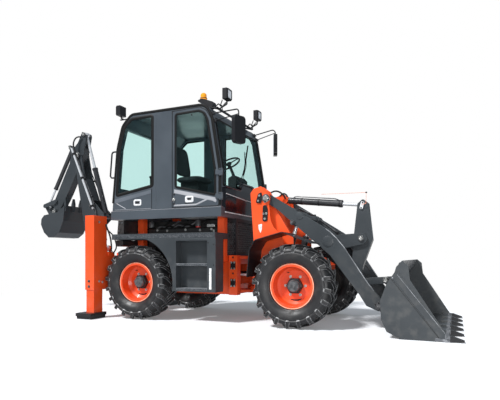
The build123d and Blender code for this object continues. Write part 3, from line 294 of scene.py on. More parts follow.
machine_orange = (0.82, 0.080, 0.012)
pad_top = 0.086
tooth_root = 3.368
disc_inner_face = 0.733
orange = enamel("orange enamel", machine_orange, 0.42, 0.3)
steel_grey = enamel("grey enamel", (0.032, 0.038, 0.043), 0.42, 0.25)
cab_grey = enamel("cab enamel", (0.056, 0.068, 0.081), 0.32, 0.4, 0.3)
black = enamel("black enamel", (0.007, 0.007, 0.009), 0.42, 0.15)
barrel_grey = enamel("barrel enamel", (0.030, 0.031, 0.034), 0.26, 0.6, 0.3)
rim_orange = enamel("rim enamel", (0.76, 0.066, 0.011), 0.38, 0.35, shaded_width=disc_inner_face)
iron = enamel("engine enamel", (0.035, 0.033, 0.032), 0.6, 0.1, 0.9)
leg_orange = enamel("leg enamel", machine_orange, 0.42, 0.3, foot=pad_top)
bucket_grey = enamel("bucket enamel", (0.034, 0.039, 0.043), 0.42, 0.25, lip=tooth_root)
coat("orange_paint", orange)
coat("grey_paint", steel_grey)
coat("cab_paint", cab_grey)
coat("black_paint", black)
coat("rim_paint", rim_orange)
coat("engine_iron", iron)
for finish, names in (
        (barrel_grey, ("tilt_barrel", "boom_barrel", "stick_barrel", "hoe_barrel", "lift_barrels")),
        (bucket_grey, ("loader_bucket",)),
        (black, ("front_fenders",)),
        (leg_orange, ("stabiliser_leg_right", "stabiliser_leg_left"))):
    for name in names:
        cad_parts[name].material_slots[0].material = finish

# ---------------------------------------------------------------- Cylinder rods
# Hard chrome on ground steel, wiped clean by the seal, with fine rings round the rod.
f = Finish("hard chrome")
rings = f.noise(420, 1)
chrome = f.done(f.shader(Base_Color=f.mix(f.noise(14), (0.72, 0.73, 0.75, 1), (0.86, 0.87, 0.88, 1)),
                         Metallic=0.45, Roughness=0.14 + 0.12 * rings, Normal=f.bump(rings, 0.0002, 0.2)))
coat("rod_chrome", chrome)

# ---------------------------------------------------------------- Glass and plastics
# Tinted safety glass, the gloss black cowl, grained black mouldings, the amber beacon lens and the woven
# cover of the seat, each on the CAD nodes of its slot.
f = Finish("tinted glass")
slant = f.node("ShaderNodeLayerWeight", {}, {"Blend": 0.5})["Facing"]
glance = slant * slant * slant * slant
clear = f.node("ShaderNodeBsdfTransparent", {}, {"Color": (0.87, 0.965, 0.955, 1)})["BSDF"]
sheen = f.shader(Base_Color=f.mix(f.noise(3), (0.02, 0.03, 0.03, 1), (0.03, 0.04, 0.04, 1)), Roughness=0.03)
share = glance * 0.5 + 0.03 * f.noise(2)
glass = f.done(f.node("ShaderNodeMixShader", {}, {0: share, 1: clear, 2: sheen})["Shader"])
coat("glass", glass)

f = Finish("gloss black")
gloss = f.done(f.shader(Base_Color=f.mix(f.noise(3), (0.004, 0.004, 0.007, 1), (0.008, 0.008, 0.012, 1)),
                        Roughness=0.14 + 0.1 * f.noise(9, 4), Specular_IOR_Level=0.2, Coat_Weight=0.35,
                        Coat_Roughness=0.05))
coat("cowl_gloss", gloss)

f = Finish("grained black")
grain = f.noise(700, 2)
plastic = f.done(f.shader(Base_Color=f.mix(f.noise(7, 3), (0.012, 0.012, 0.013, 1), (0.022, 0.022, 0.024, 1)),
                          Roughness=0.55 + 0.2 * grain, Specular_IOR_Level=0.25,
                          Normal=f.bump(grain, 0.0005, 0.4)))
coat("black_plastic", plastic)

f = Finish("amber lens")
# Painted light: a deeper amber where the dome is seen at a slant is painted shade, and the faint emission is
# a painted glow.
grazing_shade = f.node("ShaderNodeLayerWeight", {}, {"Blend": 0.4})["Facing"]
amber = f.done(f.shader(Base_Color=f.mix(grazing_shade * f.noise(30), (0.95, 0.36, 0.02, 1), (0.75, 0.16, 0.01, 1)),
                        Roughness=0.12, Emission_Color=(0.9, 0.3, 0.02, 1), Emission_Strength=0.12))
coat("amber", amber)

f = Finish("seat cloth")
seat_cloth = f.done(f.shader(Base_Color=f.mix(f.noise(300), (0.02, 0.02, 0.022, 1), (0.045, 0.045, 0.05, 1)),
                             Roughness=0.9, Normal=f.bump(f.noise(500), 0.001, 0.5)))
coat("seat_cover", seat_cloth)

# ---------------------------------------------------------------- Tyres
# Black rubber lug tyres, moulded: a round carcass with ribs on the side wall and two rings of slanted
# bars that meet off-centre, roll over the shoulder and fade into the side wall.
tyre_radius = 0.5375
lug_circle = 0.52
lugs_a_side = 20
half_track = 0.77
axles = (("front", 1.525), ("rear", -0.855))
sides = (("right", -1), ("left", 1))
# Each wheel's name, its axle's x and its middle's y.
wheels = [(end + "_" + hand, x, side * half_track) for end, x in axles for hand, side in sides]

f = Finish("tyre rubber")
dirt = f.noise(11, 6).step(0.45, 0.75)
pores = f.noise(380, 2)
soft_normal, corner = f.corners(0.010, 0.01, 0.14)
edge = corner * f.noise(13, 3).step(0.25, 0.55)
base = f.mix(f.noise(2.5), (0.009, 0.009, 0.010, 1), (0.017, 0.017, 0.018, 1))
# Painted highlight: the lug and rib edges are made pale grey.
base = f.mix(edge * 0.9, base, (0.36, 0.36, 0.365, 1))
base = f.mix(dirt * 0.25, base, (0.070, 0.065, 0.060, 1))
rubber = f.done(f.shader(Base_Color=base, Roughness=0.42 + 0.3 * dirt, Specular_IOR_Level=0.45,
                         Normal=f.bump(pores, 0.0006, 0.35, soft_normal)))


def eased(points, passes):
    """A path with its corners cut: each pass puts new points at a quarter and three quarters of each run."""
    for _ in range(passes):
        ahead = 0.75 * points[:-1] + 0.25 * points[1:]
        after = 0.25 * points[:-1] + 0.75 * points[1:]
        cuts = np.stack([ahead, after], 1).reshape(-1, points.shape[1])
        points = np.concatenate([points[:1], cuts, points[-1:]])
    return points


def wheel_turned(profile, middle, steps=96):
    """A profile of (distance outwards, radius) turned about the axle: x = r sin t, y = w, z = r cos t."""
    t = np.linspace(0, 2 * np.pi, steps, endpoint=False)
    w, r = profile[:, None, 0], profile[:, None, 1]
    return np.stack([r * np.sin(t), w + 0 * t, r * np.cos(t)], -1) + middle


def joined(forms):
    """Several forms as one: their points stacked, each form's faces counted on from the points before."""
    starts = np.cumsum([0] + [len(points) for points, faces in forms])
    return (np.concatenate([points for points, faces in forms]),
            [face + start for (points, faces), start in zip(forms, starts) for face in faces])


def capped(points):
    """A tube of closed sections (rows, columns, 3) with a flat face over each end."""
    form = grid(points, across_closed=True)
    rows, columns = points.shape[:2]
    ends = np.stack([np.arange(columns)[::-1], (rows - 1) * columns + np.arange(columns)])
    return form[0], form[1] + [ends]


half_side = np.array([
    # distance from the middle, radius: up the side wall from the bead, over the shoulder, to the middle
    (0.114, 0.264), (0.119, 0.285), (0.132, 0.297), (0.148, 0.300), (0.150, 0.308), (0.163, 0.322),
    (0.181, 0.352), (0.191, 0.385), (0.1935, 0.405), (0.1935, 0.419), (0.187, 0.423), (0.187, 0.435),
    (0.193, 0.439), (0.191, 0.452), (0.180, 0.474), (0.160, 0.490), (0.130, 0.498), (0.08, 0.502), (0, 0.503),
])
side_wall = eased(half_side, 2)
carcass = np.concatenate([side_wall, side_wall[-2::-1] * (-1, 1)])
lug_stations = np.array([
    # distance from the middle, foot radius, top radius, how far the bar trails round, half thickness
    (-0.014, 0.494, 0.5355, 0.000, 0.016),
    (0.030, 0.494, 0.5372, 0.036, 0.0170),
    (0.080, 0.492, 0.5370, 0.072, 0.0180),
    (0.125, 0.488, 0.5350, 0.098, 0.0200),
    (0.158, 0.480, 0.5310, 0.112, 0.0220),
    (0.182, 0.464, 0.5180, 0.119, 0.0230),
    (0.192, 0.440, 0.4860, 0.122, 0.0215),
    (0.1935, 0.422, 0.4420, 0.124, 0.0160),
])


def lug_ring(side, offset):
    """One side's bars: at each station a section of four corners, 1.35 times wider at its foot, which is also
    set in by 0.6 %. Angle = (bar number + offset) * pitch - (trail +- half thickness) / lug circle."""
    w, foot, top, trail, half = lug_stations.T
    thick = np.stack([-1.35 * half, -half, half, 1.35 * half], -1)
    radius = np.stack([foot, top, top, foot], -1)
    pitch = 2 * np.pi / lugs_a_side
    angle = (np.arange(lugs_a_side)[:, None, None] + offset) * pitch - (trail[:, None] + thick) / lug_circle
    out = np.where(np.arange(4) % 3 == 0, 0.994, 1.0) * side * w[:, None]
    points = np.stack([radius * np.sin(angle), out + 0 * angle, radius * np.cos(angle)], -1)
    return joined([capped(bar) for bar in points])


for name, x, y in wheels:
    middle = np.array([x, y, tyre_radius])
    body = grid(wheel_turned(carcass, middle), across_closed=True, along_closed=True)
    bars = joined([lug_ring(1, 0.5), lug_ring(-1, 0)])
    bars = (bars[0] + middle, bars[1])
    tyre = piece("lug_tyre_" + name, joined([body, bars]), rubber, "wheel_" + name, sharp=40)
    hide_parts("tyre_" + name)

# ---------------------------------------------------------------- Rim trim
# Each rim is bolted to its hub by six nuts round a dark hexagonal plate with a round cap, has one curved
# hand hole low in the disc, a valve stem, and a flange lip painted pale as a highlight.


def stock(name, dark, light, rough, **values):
    """A small part's finish: two shades in clouds, gloss that varies with them."""
    f = Finish(name)
    clouds = f.noise(24, 4).step(0.35, 0.65)
    return f.done(f.shader(Base_Color=f.mix(clouds, dark + (1,), light + (1,)),
                           Roughness=rough - 0.05 + 0.12 * clouds, **values))


def frame_of(axis):
    """Rows of two unit directions square to an axis, then the axis itself."""
    axis = np.array(axis, float) / np.linalg.norm(axis)
    side = np.cross((0, 0, 1) if abs(axis[2]) < 0.9 else (1, 0, 0), axis)
    side /= np.linalg.norm(side)
    return np.stack([side, np.cross(axis, side), axis])


def turned(profile, centre, axis, steps=24):
    """Rows of (distance along the axis, radius) turned about it: p = centre + r (cos t u + sin t v) + d a."""
    d, r = np.array(profile, float).T[:, :, None]
    t = np.linspace(0, 2 * np.pi, steps, endpoint=False)
    return capped(np.stack([r * np.cos(t), r * np.sin(t), d + 0 * t], -1) @ frame_of(axis) + centre)


def moved(form, centres):
    """Copies of one form, one at each centre."""
    return joined([(form[0] + centre, form[1]) for centre in np.array(centres, float)])


def bolts(centres, axis, size=0.012):
    """Hexagon heads on washers, facing along the axis; size is the half width over the corners."""
    washer = turned([(-0.001, 1.5 * size), (0.25 * size, 1.5 * size)], (0, 0, 0), axis, 14)
    head = turned([(0, size), (1.0 * size, size), (1.2 * size, 0.8 * size)], (0, 0, 0), axis, 6)
    return moved(joined([washer, head]), centres)


def around(middle, radius, count, start=0.0):
    """Points at even angles round a wheel: middle + radius (cos t, 0, sin t)."""
    t = np.radians(start) + np.arange(count) * 2 * np.pi / count
    return middle + radius * np.stack([np.cos(t), 0 * t, np.sin(t)], -1)


def side_plate(outline, inner, outer):
    """An outline of (x, z) rows carried from y = inner to y = outer, its ends flat."""
    outline = np.array(outline, float)
    x, z = outline.T
    return capped(np.stack([np.stack([x, inner + 0 * x, z], -1), np.stack([x, outer + 0 * x, z], -1)]))


def tube(path, radius, flat=None, closed=False, steps=10):
    """An oval section carried along a path: its first half width stands square to the path's plane, the
    second lies in it."""
    path = np.array(path, float)
    if closed:
        ahead = np.roll(path, -1, 0) - np.roll(path, 1, 0)
    else:
        ahead = np.gradient(path, axis=0)
    ahead /= np.linalg.norm(ahead, axis=1)[:, None]
    square = np.linalg.svd(path - path.mean(0))[2][-1]
    u = square - (ahead @ square)[:, None] * ahead
    u /= np.linalg.norm(u, axis=1)[:, None]
    v = np.cross(ahead, u)
    t = np.linspace(0, 2 * np.pi, steps, endpoint=False)[:, None]
    ring = path[:, None] + radius * np.cos(t) * u[:, None] + (flat or radius) * np.sin(t) * v[:, None]
    return grid(ring, across_closed=True, along_closed=True) if closed else capped(ring)


zinc = stock("zinc plate", (0.40, 0.40, 0.38), (0.62, 0.62, 0.60), 0.32, Metallic=0.85)
cast = stock("dark casting", (0.040, 0.041, 0.044), (0.095, 0.096, 0.100), 0.38)
# Pale salmon: painted highlight on the rim lips; the level rod takes the same colour.
highlight_salmon = stock("painted lip highlight", (0.85, 0.27, 0.15), (0.88, 0.40, 0.27), 0.35, Coat_Weight=0.4)
shadow = stock("shadowed gap", (0.004, 0.004, 0.004), (0.008, 0.008, 0.008), 0.7)
disc_depth = 0.028
hole_turn = np.radians(np.linspace(-112, -62, 15))
hole_half = 0.010 * np.sqrt(np.sin(np.linspace(0.06, np.pi - 0.06, 15)))
hole_radius = np.concatenate([0.186 + hole_half, (0.186 - hole_half)[::-1]])
hole_angle = np.concatenate([hole_turn, hole_turn[::-1]])
hole = np.stack([hole_radius * np.cos(hole_angle), hole_radius * np.sin(hole_angle)], -1)
for name, x, y in wheels:
    body = "wheel_" + name
    side = math.copysign(1, y)
    middle = np.array([x, y, tyre_radius])
    out = np.array([0, side, 0])
    piece("wheel_nuts_" + name, bolts(around(middle - disc_depth * out, 0.134, 6), out, 0.0125), zinc,
          body)
    plate = turned([(-0.027, 0.112), (0.032, 0.108), (0.038, 0.100)], middle, out, 6)
    piece("hub_plate_" + name, plate, black, body)
    cap = turned([(0.036, 0.079), (0.060, 0.079), (0.072, 0.070), (0.074, 0.030), (0.080, 0.028)],
                 middle, out, 32)
    piece("hub_cap_" + name, cap, cast, body)
    face = y - disc_depth * side
    piece("hand_hole_" + name, side_plate(hole + (x, tyre_radius), face - 0.004 * side, face + 0.001 * side),
          shadow, body)
    lip = tube(around(middle + 0.1275 * out, 0.283, 72), 0.0035, 0.008, True, 8)
    piece("rim_lip_" + name, lip, highlight_salmon, body)
    stem = turned([(-0.03, 0.006), (0.012, 0.006), (0.014, 0.004)], around(middle, 0.192, 1, 118)[0], out, 8)
    piece("valve_" + name, stem, black, body)

# ---------------------------------------------------------------- Cab seals and panels
# Bonded panes sit behind moulded black rubber; the roof edge and the doors carry the same bead. The lower
# panels are pressed steel with a sloping shoulder and crease lines, painted pale as highlights; the rear
# panel's shoulder is painted darker as shade.


def rounded(outline, cut, steps=5):
    """A closed outline whose corners become the curves (1-t)^2 a + 2t(1-t) b + t^2 c, where a and c lie one
    cut away from the corner b along its two sides."""
    b = np.array(outline, float)
    before = np.roll(b, 1, 0) - b
    after = np.roll(b, -1, 0) - b
    a = b + cut * before / np.linalg.norm(before, axis=1)[:, None]
    c = b + cut * after / np.linalg.norm(after, axis=1)[:, None]
    t = np.linspace(0, 1, steps)[:, None, None]
    return np.moveaxis((1 - t) ** 2 * a + 2 * t * (1 - t) * b + t ** 2 * c, 0, 1).reshape(-1, b.shape[1])


def bent(path, cut, steps=5):
    """An open path with its inner corners rounded in the same way."""
    path = np.array(path, float)
    inner = rounded(path, cut, steps).reshape(len(path), steps, -1)[1:-1].reshape(-1, path.shape[1])
    return np.concatenate([path[:1], inner, path[-1:]])


def at_side(outline, y):
    """(x, z) rows set at one y."""
    outline = np.array(outline, float)
    return np.stack([outline[:, 0], y + 0 * outline[:, 0], outline[:, 1]], -1)


def block(low, high):
    """A box between two corners, whichever of their two y values is the larger."""
    (x0, y0, z0), (x1, y1, z1) = low, high
    return side_plate([(x0, z0), (x1, z0), (x1, z1), (x0, z1)], min(y0, y1), max(y0, y1))


def oblong(x, z, half_x, half_z):
    """The four (x, z) corners of an upright rectangle round a middle."""
    return [(x - half_x, z - half_z), (x + half_x, z - half_z), (x + half_x, z + half_z),
            (x - half_x, z + half_z)]


cab_side = 0.800
door_outline = rounded([(-0.300, 1.612), (-0.300, 2.990), (0.150, 3.000), (0.250, 2.946), (0.325, 2.825),
                        (0.445, 2.105), (0.445, 1.612)], 0.02)
door_window = rounded([(-0.245, 1.905), (-0.245, 2.940), (0.140, 2.950), (0.222, 2.905), (0.272, 2.805),
                       (0.390, 2.095), (0.390, 1.762)], 0.03)
side_window = rounded([(-1.285, 1.832), (-1.232, 2.530), (-1.140, 2.850), (-1.010, 2.962), (-0.640, 2.968),
                       (-0.640, 1.945)], 0.03)
roof_edge = bent([(-1.352, 1.72), (-1.272, 2.540), (-1.178, 2.874), (-1.016, 3.028), (0.181, 3.028),
                  (0.270, 2.978), (0.346, 2.838), (0.468, 2.110), (0.468, 1.62)], 0.05)
door_crease = bent([(-0.268, 1.640), (0.09, 1.640), (0.30, 1.722), (0.40, 1.668)], 0.03)
door_shoulder = [(-0.268, 1.872), (0.408, 1.722), (0.412, 1.668), (-0.268, 1.818)]
panel_shoulder = [(-1.315, 1.776), (-0.665, 1.888), (-0.665, 1.838), (-1.318, 1.712)]
f = Finish("seal rubber")
seal = f.done(f.shader(Base_Color=f.mix(f.noise(12, 3), (0.003, 0.003, 0.003, 1), (0.006, 0.006, 0.006, 1)),
                       Roughness=0.42 + 0.2 * f.noise(90, 2), Specular_IOR_Level=0.2))
# One pressed steel in a lit and a shaded copy: painted highlight on the door's shoulder, creases and sill
# strip, painted shade on the rear panel's shoulder.
highlight_grey = enamel("shoulder painted highlight", (0.34, 0.345, 0.365), 0.28, 0.6, 0.2)
shade_grey = enamel("shoulder painted shade", (0.11, 0.125, 0.145), 0.3, 0.5, 0.2)
for hand, side in sides:
    y = side * cab_side
    door = hand + "_door"
    piece("door_window_seal_" + hand, tube(at_side(door_window, y), 0.007, 0.018, True, 8), seal,
          door)
    piece("side_window_seal_" + hand, tube(at_side(side_window, y), 0.006, 0.024, True, 8), seal,
          "rear_body")
    # Black strip round the door's outline: gasket rubber, and painted shade of the gap between door and
    # frame.
    gap_shade_seal = tube(at_side(door_outline, y - 0.001 * side), 0.003, 0.006, True, 6)
    piece("door_gap_seal_" + hand, gap_shade_seal, seal, "rear_body")
    piece("roof_edge_bead_" + hand, tube(at_side(roof_edge, y), 0.009, 0.020, steps=8), seal,
          "rear_body")
    # Pressed shoulders stand 2 to 3 mm off the skin; the creases are half sunk in it.
    piece("door_shoulder_" + hand, side_plate(door_shoulder, y - 0.006 * side, y + 0.003 * side), highlight_grey,
          door, bevel=0.002)
    piece("door_crease_" + hand, tube(at_side(door_crease, y), 0.004, 0.012, steps=8), highlight_grey,
          door)
    piece("panel_shoulder_" + hand, side_plate(panel_shoulder, y - 0.006 * side, y + 0.002 * side), shade_grey,
          "rear_body", bevel=0.002)
    for n, path in enumerate([[(-1.285, 1.712), (-1.12, 1.628)], [(-1.315, 1.615), (-0.665, 1.615)],
                              [(-0.652, 1.615), (-0.652, 1.905)]]):
        crease = tube(at_side(path, y), 0.0035, 0.006, steps=8)
        piece("panel_crease_%s_%d" % (hand, n), crease, highlight_grey if n < 2 else seal, "rear_body")
    piece("pillar_glint_" + hand, tube(at_side([(-0.585, 1.64), (-0.585, 2.985)], y), 0.0035, 0.010, steps=8),
          cab_grey, "rear_body")

# ---------------------------------------------------------------- Door furniture
# Moulded paddle handles in bright square frames, a zinc lock button between two stops by the door's rear
# edge, the hinges' bolts by its front edge, and a folded strip along the sill painted pale as a highlight.
bright = stock("bright trim and painted highlight", (0.62, 0.62, 0.63), (0.80, 0.80, 0.80), 0.25, Coat_Weight=0.5)
for hand, side in sides:
    y = side * cab_side
    door = hand + "_door"
    for name, x, z, body in (("door", -0.02, 1.722, door), ("panel", -0.905, 1.712, "rear_body")):
        rim = tube(at_side(rounded(oblong(x, z, 0.056, 0.034), 0.012), y), 0.006, 0.013, True, 8)
        piece(name + "_handle_frame_" + hand, rim, bright, body)
        well = side_plate(oblong(x, z, 0.05, 0.03), y - 0.012 * side, y - 0.001 * side)
        piece(name + "_handle_well_" + hand, well, bright, body)
        grip = side_plate(rounded(oblong(x, z, 0.03, 0.012), 0.006), y - 0.001 * side, y + 0.004 * side)
        piece(name + "_handle_" + hand, grip, plastic, body)
    knob = turned([(0, 0.024), (0.010, 0.024), (0.014, 0.018), (0.024, 0.014), (0.027, 0.006)],
                  (-0.272, y, 1.725), (0, side, 0), 20)
    piece("lock_button_" + hand, knob, zinc, door)
    piece("lock_stops_" + hand, bolts([(-0.272, y, 1.800), (-0.272, y, 1.665)], (0, side, 0), 0.010), black,
          door)
    piece("hinge_bolts_" + hand, bolts([(0.425, y, 1.725), (0.425, y, 1.755), (0.425, y, 2.055)],
                                       (0, side, 0), 0.008), black, door)
    piece("window_stud_" + hand, bolts([(0.02, y + 0.002 * side, 2.905)], (0, side, 0), 0.009), black,
          door)
    piece("sill_edge_" + hand, block((-1.352, y, 1.588), (0.508, y + 0.052 * side, 1.592)), highlight_grey,
          "rear_body", bevel=0.002)

# ---------------------------------------------------------------- Windscreen
# One tall pane in a black rubber bead, wiped by a steel pantograph arm parked on the slant; the gloss cowl
# below has a crease over its hump, and bright lines at its flare and along its foot are painted highlights.
screen = [(0.484, -0.735, 2.085), (0.484, -0.735, 2.110), (0.361, -0.735, 2.835), (0.361, 0.735, 2.835),
          (0.484, 0.735, 2.110), (0.484, 0.735, 2.085)]
lower = [(0.482, 0.735, 1.90), (0.482, 0.27, 1.90), (0.482, -0.27, 1.90), (0.482, -0.735, 1.90)]
piece("screen_bead", tube(bent(screen, 0.02), 0.012, steps=8), seal, "rear_body")
piece("screen_foot_bead", tube(bent([screen[-1]] + lower + [screen[0]], 0.02), 0.012, steps=8), seal,
      "rear_body")
arm = [(0.512, -0.30, 1.93), (0.515, -0.20, 2.06), (0.476, 0.02, 2.30), (0.433, 0.10, 2.52)]
piece("wiper_arm", tube(bent(arm, 0.05), 0.006, steps=8), black, "rear_body")
piece("wiper_stay", tube(bent(np.array(arm) + (0.002, 0.045, 0), 0.05), 0.004, steps=8), black,
      "rear_body")
blade = tube([(0.505, -0.10, 2.13), (0.408, 0.28, 2.66)], 0.007, 0.012, steps=8)
piece("wiper_blade", blade, seal, "rear_body")
piece("wiper_boss", turned([(0, 0.032), (0.03, 0.030), (0.04, 0.018)], (0.50, -0.28, 1.93), (1, 0, 0.1), 20),
      black, "rear_body")
hump = [(0.538, -0.765, 1.872), (0.538, -0.262, 1.872), (0.538, -0.20, 1.985), (0.538, 0.20, 1.985),
        (0.538, 0.262, 1.872), (0.538, 0.765, 1.872)]
piece("cowl_crease", tube(bent(hump, 0.03), 0.007, 0.010, steps=8), gloss, "rear_body")
# Painted highlights: bright strips at the cowl's flare and foot.
flare = [(0.540, -0.755, 1.778), (0.540, -0.10, 1.748), (0.540, 0.10, 1.748), (0.540, 0.755, 1.778)]
piece("cowl_flare", tube(bent(flare, 0.04), 0.004, 0.006, steps=8), bright, "rear_body")
piece("cowl_foot", tube([(0.532, -0.768, 1.524), (0.532, 0.768, 1.524)], 0.008, steps=8), bright,
      "rear_body")

# ---------------------------------------------------------------- Lamps, beacon and mirrors
# Square halogen lamps have a ribbed lens in a black bezel, the front pair on two bent rods each; mirror
# glass is let into the rear face of each mirror head; a dark ring seats the beacon's amber dome.
f = Finish("lamp lens")
ribs = f.node("ShaderNodeTexWave", {}, {"Vector": f.place(), "Scale": 60.0})["Fac"]
lens = f.done(f.shader(Base_Color=f.mix(ribs, (0.62, 0.65, 0.68, 1), (0.95, 0.96, 0.97, 1)), Roughness=0.12,
                       Coat_Weight=0.8, Normal=f.bump(ribs, 0.002, 0.4)))
f = Finish("mirror glass")
mirror = f.done(f.shader(Base_Color=f.mix(f.noise(3), (0.72, 0.75, 0.78, 1), (0.82, 0.84, 0.86, 1)),
                         Metallic=1.0, Roughness=0.04))
lamp_spots = (
    # end, face x, distance from the middle plane, middle z, facing way along X
    ("front", 0.4942, 0.56, 3.205, 1),
    ("rear", -1.4432, 0.55, 3.190, -1),
)
bezel_edge = rounded(oblong(0, 0, 0.064, 0.064), 0.014)
lens_edge = bezel_edge * 0.93
for end, x, apart, z, way in lamp_spots:
    for hand, side in sides:
        name = end + "_" + hand
        y = side * apart
        ring = np.stack([x + 0.003 * way + 0 * bezel_edge[:, 0], y + bezel_edge[:, 0],
                         z + bezel_edge[:, 1]], -1)
        piece("lamp_bezel_" + name, tube(ring, 0.004, 0.009, True, 8), black, "rear_body")
        dome = [np.stack([x + way * rise + 0 * lens_edge[:, 0], y + lens_edge[:, 0] * size,
                          z + lens_edge[:, 1] * size], -1)
                for rise, size in ((0, 1), (0.0025, 0.97), (0.0045, 0.6), (0.005, 0.05))]
        piece("lamp_lens_" + name, capped(np.stack(dome)), lens, "rear_body", sharp=0)
for hand, side in sides:
    lamp_foot = np.array([0, side * 0.56, 0])
    zigzag = lamp_foot + [(0.327, -0.11, 3.02), (0.345, -0.05, 3.075), (0.36, 0.03, 3.05),
                          (0.40, 0.07, 3.12)]
    piece("lamp_bracket_" + hand, tube(bent(zigzag, 0.012), 0.008, steps=8), black,
          "rear_body")
    zigzag = lamp_foot + [(0.327, 0.11, 3.02), (0.345, 0.05, 3.085), (0.36, -0.03, 3.045),
                          (0.41, -0.06, 3.12)]
    piece("lamp_stay_" + hand, tube(bent(zigzag, 0.012), 0.007, steps=8), black, "rear_body")
toe = math.radians(23)
mirror_edge = rounded(oblong(0, 0, 0.082, 0.160), 0.03)
for hand, side, x, y, z in (("right", -1, 0.815, -0.950, 2.575), ("left", 1, 0.605, 1.000, 2.805)):
    across = np.array([-math.sin(side * toe), math.cos(side * toe), 0])
    back = np.array([-math.cos(side * toe), -math.sin(side * toe), 0])
    rows = [back * reach + mirror_edge[:, :1] * across * size + mirror_edge[:, 1:] * (0, 0, size)
            for reach, size in ((0.026, 1), (0.0312, 1), (0.0318, 0.98))]
    piece("mirror_glass_" + hand, capped(np.stack(rows) + (x, y, z)), mirror, "rear_body")
foot_ring = around(np.array([0, 0, 0]), 0.047, 32)[:, [0, 2, 1]] + (0.072, -0.55, 3.203)
piece("beacon_foot", tube(foot_ring, 0.006, closed=True, steps=8), black, "rear_body")

# ---------------------------------------------------------------- Grille hood
# Pressed hexagon mesh in black enamel, made a lighter grey as a painted highlight, held in the front and side
# openings of the hood ahead of the cooling pack. One cell is made and set out over each opening, every second
# row half a pitch across.
# Painted highlight: grey in place of black.
mesh_highlight_grey = stock("mesh enamel with painted highlight", (0.035, 0.035, 0.038), (0.09, 0.09, 0.095), 0.35)
cells_y = 26
cells_z = 14
hood_front = 0.531
hood_side = 0.431
hood_y = 0.395
mesh_top = 1.43
i, j = np.meshgrid(np.arange(cells_y), np.arange(cells_z), indexing="ij")
pitch = 2 * hood_y / cells_y
mesh_y = -hood_y + pitch * (i + 0.5 * (j % 2)).ravel()
mesh_z = (0.965 + 0.866 * pitch * j * 1.22).ravel()
t = np.radians(np.arange(6) * 60 + 30)
cell = np.stack([np.stack([dx + 0 * t, r * np.cos(t), r * np.sin(t)], -1)
                 for dx, r in ((0, 0.57), (0.003, 0.57), (0.003, 0.44), (0, 0.44))])
cell[:, :, 1:] *= pitch
one = grid(cell, across_closed=True, along_closed=True)
keep = (mesh_z < mesh_top) & (np.abs(mesh_y) < hood_y)
places = np.stack([hood_front + 0 * mesh_y, mesh_y, mesh_z], -1)[keep]
piece("grille_mesh", moved(one, places), mesh_highlight_grey, "rear_body")
keep = (mesh_z < mesh_top) & (np.abs(mesh_y) < 0.115)
for hand, side in sides:
    sideways = one[0][:, [1, 0, 2]] * (1, side, 1)
    places = np.stack([0.392 + mesh_y, side * hood_side + 0 * mesh_y, mesh_z], -1)[keep]
    piece("grille_side_" + hand, moved((sideways, one[1]), places), mesh_highlight_grey, "rear_body")

# ---------------------------------------------------------------- Running boards and steps
# Folded chequer plate: raised tear drops on top and slanting ridges pressed along the outer edge; open
# steps with a serrated nose; a pale strip and small bolts on the front post of each step box.
# Painted highlight: the chequer, edge ridges, step noses and step plates are made a lighter grey.
tread_highlight_grey = stock("tread painted highlight", (0.11, 0.12, 0.13), (0.27, 0.28, 0.30), 0.40)
board_face = 0.95
ridge_x = -1.235 + 0.0202 * np.arange(84)
edge_ridge = tube([(-0.010, 0, 0), (0.012, 0, 0.048)], 0.002, 0.0045, steps=6)
nose_x = -0.137 + 0.0128 * np.arange(38)
nose_ridge = tube([(-0.003, 0, 0), (0.004, 0, 0.026)], 0.0018, 0.003, steps=6)
i, j = np.meshgrid(np.arange(68), np.arange(14), indexing="ij")
odd = ((i + j) % 2).ravel() == 1
tear = capped(np.array([
    [(-0.004, -0.0016, 0), (0.004, -0.0016, 0), (0.004, 0.0016, 0), (-0.004, 0.0016, 0)],
    [(-0.0095, -0.0014, 0.0012), (0.0095, -0.0014, 0.0012), (0.0095, 0.0014, 0.0012),
     (-0.0095, 0.0014, 0.0012)],
]))
slanted = np.array([(0.707, 0.707, 0), (-0.707, 0.707, 0), (0, 0, 1)])
for hand, side in sides:
    edge_y = side * (board_face + 0.001)
    low = np.stack([ridge_x, edge_y + 0 * ridge_x, 1.176 + 0 * ridge_x], -1)
    piece("board_edge_" + hand, moved(edge_ridge, low), tread_highlight_grey, "rear_body")
    spots = np.stack([-1.23 + 0.0247 * i, side * (0.565 + 0.0275 * j), 1.2405 + 0 * i], -1).reshape(-1, 3)
    chequer = joined([moved((tear[0] @ slanted, tear[1]), spots[odd]),
                      moved((tear[0] @ slanted.T, tear[1]), spots[~odd])])
    piece("board_chequer_" + hand, chequer, tread_highlight_grey, "rear_body")
    for level, z in enumerate((0.475, 0.815)):
        teeth = np.stack([nose_x, edge_y + 0 * nose_x, z - 0.030 + 0 * nose_x], -1)
        piece("step_nose_%s_%d" % (hand, level), moved(nose_ridge, teeth), tread_highlight_grey,
              "rear_body")
        plate = block((-0.145, side * 0.80, z), (0.345, side * (board_face - 0.001), z + 0.003))
        piece("step_tread_%s_%d" % (hand, level), plate, tread_highlight_grey, "rear_body")
    strip = side_plate([(0.378, 0.470), (0.412, 0.470), (0.412, 0.755), (0.378, 0.755)],
                       side * (board_face - 0.0005), side * (board_face + 0.0015))
    piece("reflector_" + hand, strip, bright, "rear_body")
    spots = at_side([(0.444, 0.50), (0.444, 0.80), (0.444, 1.08), (0.360, 1.10)], side * board_face)
    piece("step_bolts_" + hand, bolts(spots, (0, side, 0), 0.006), black, "rear_body")

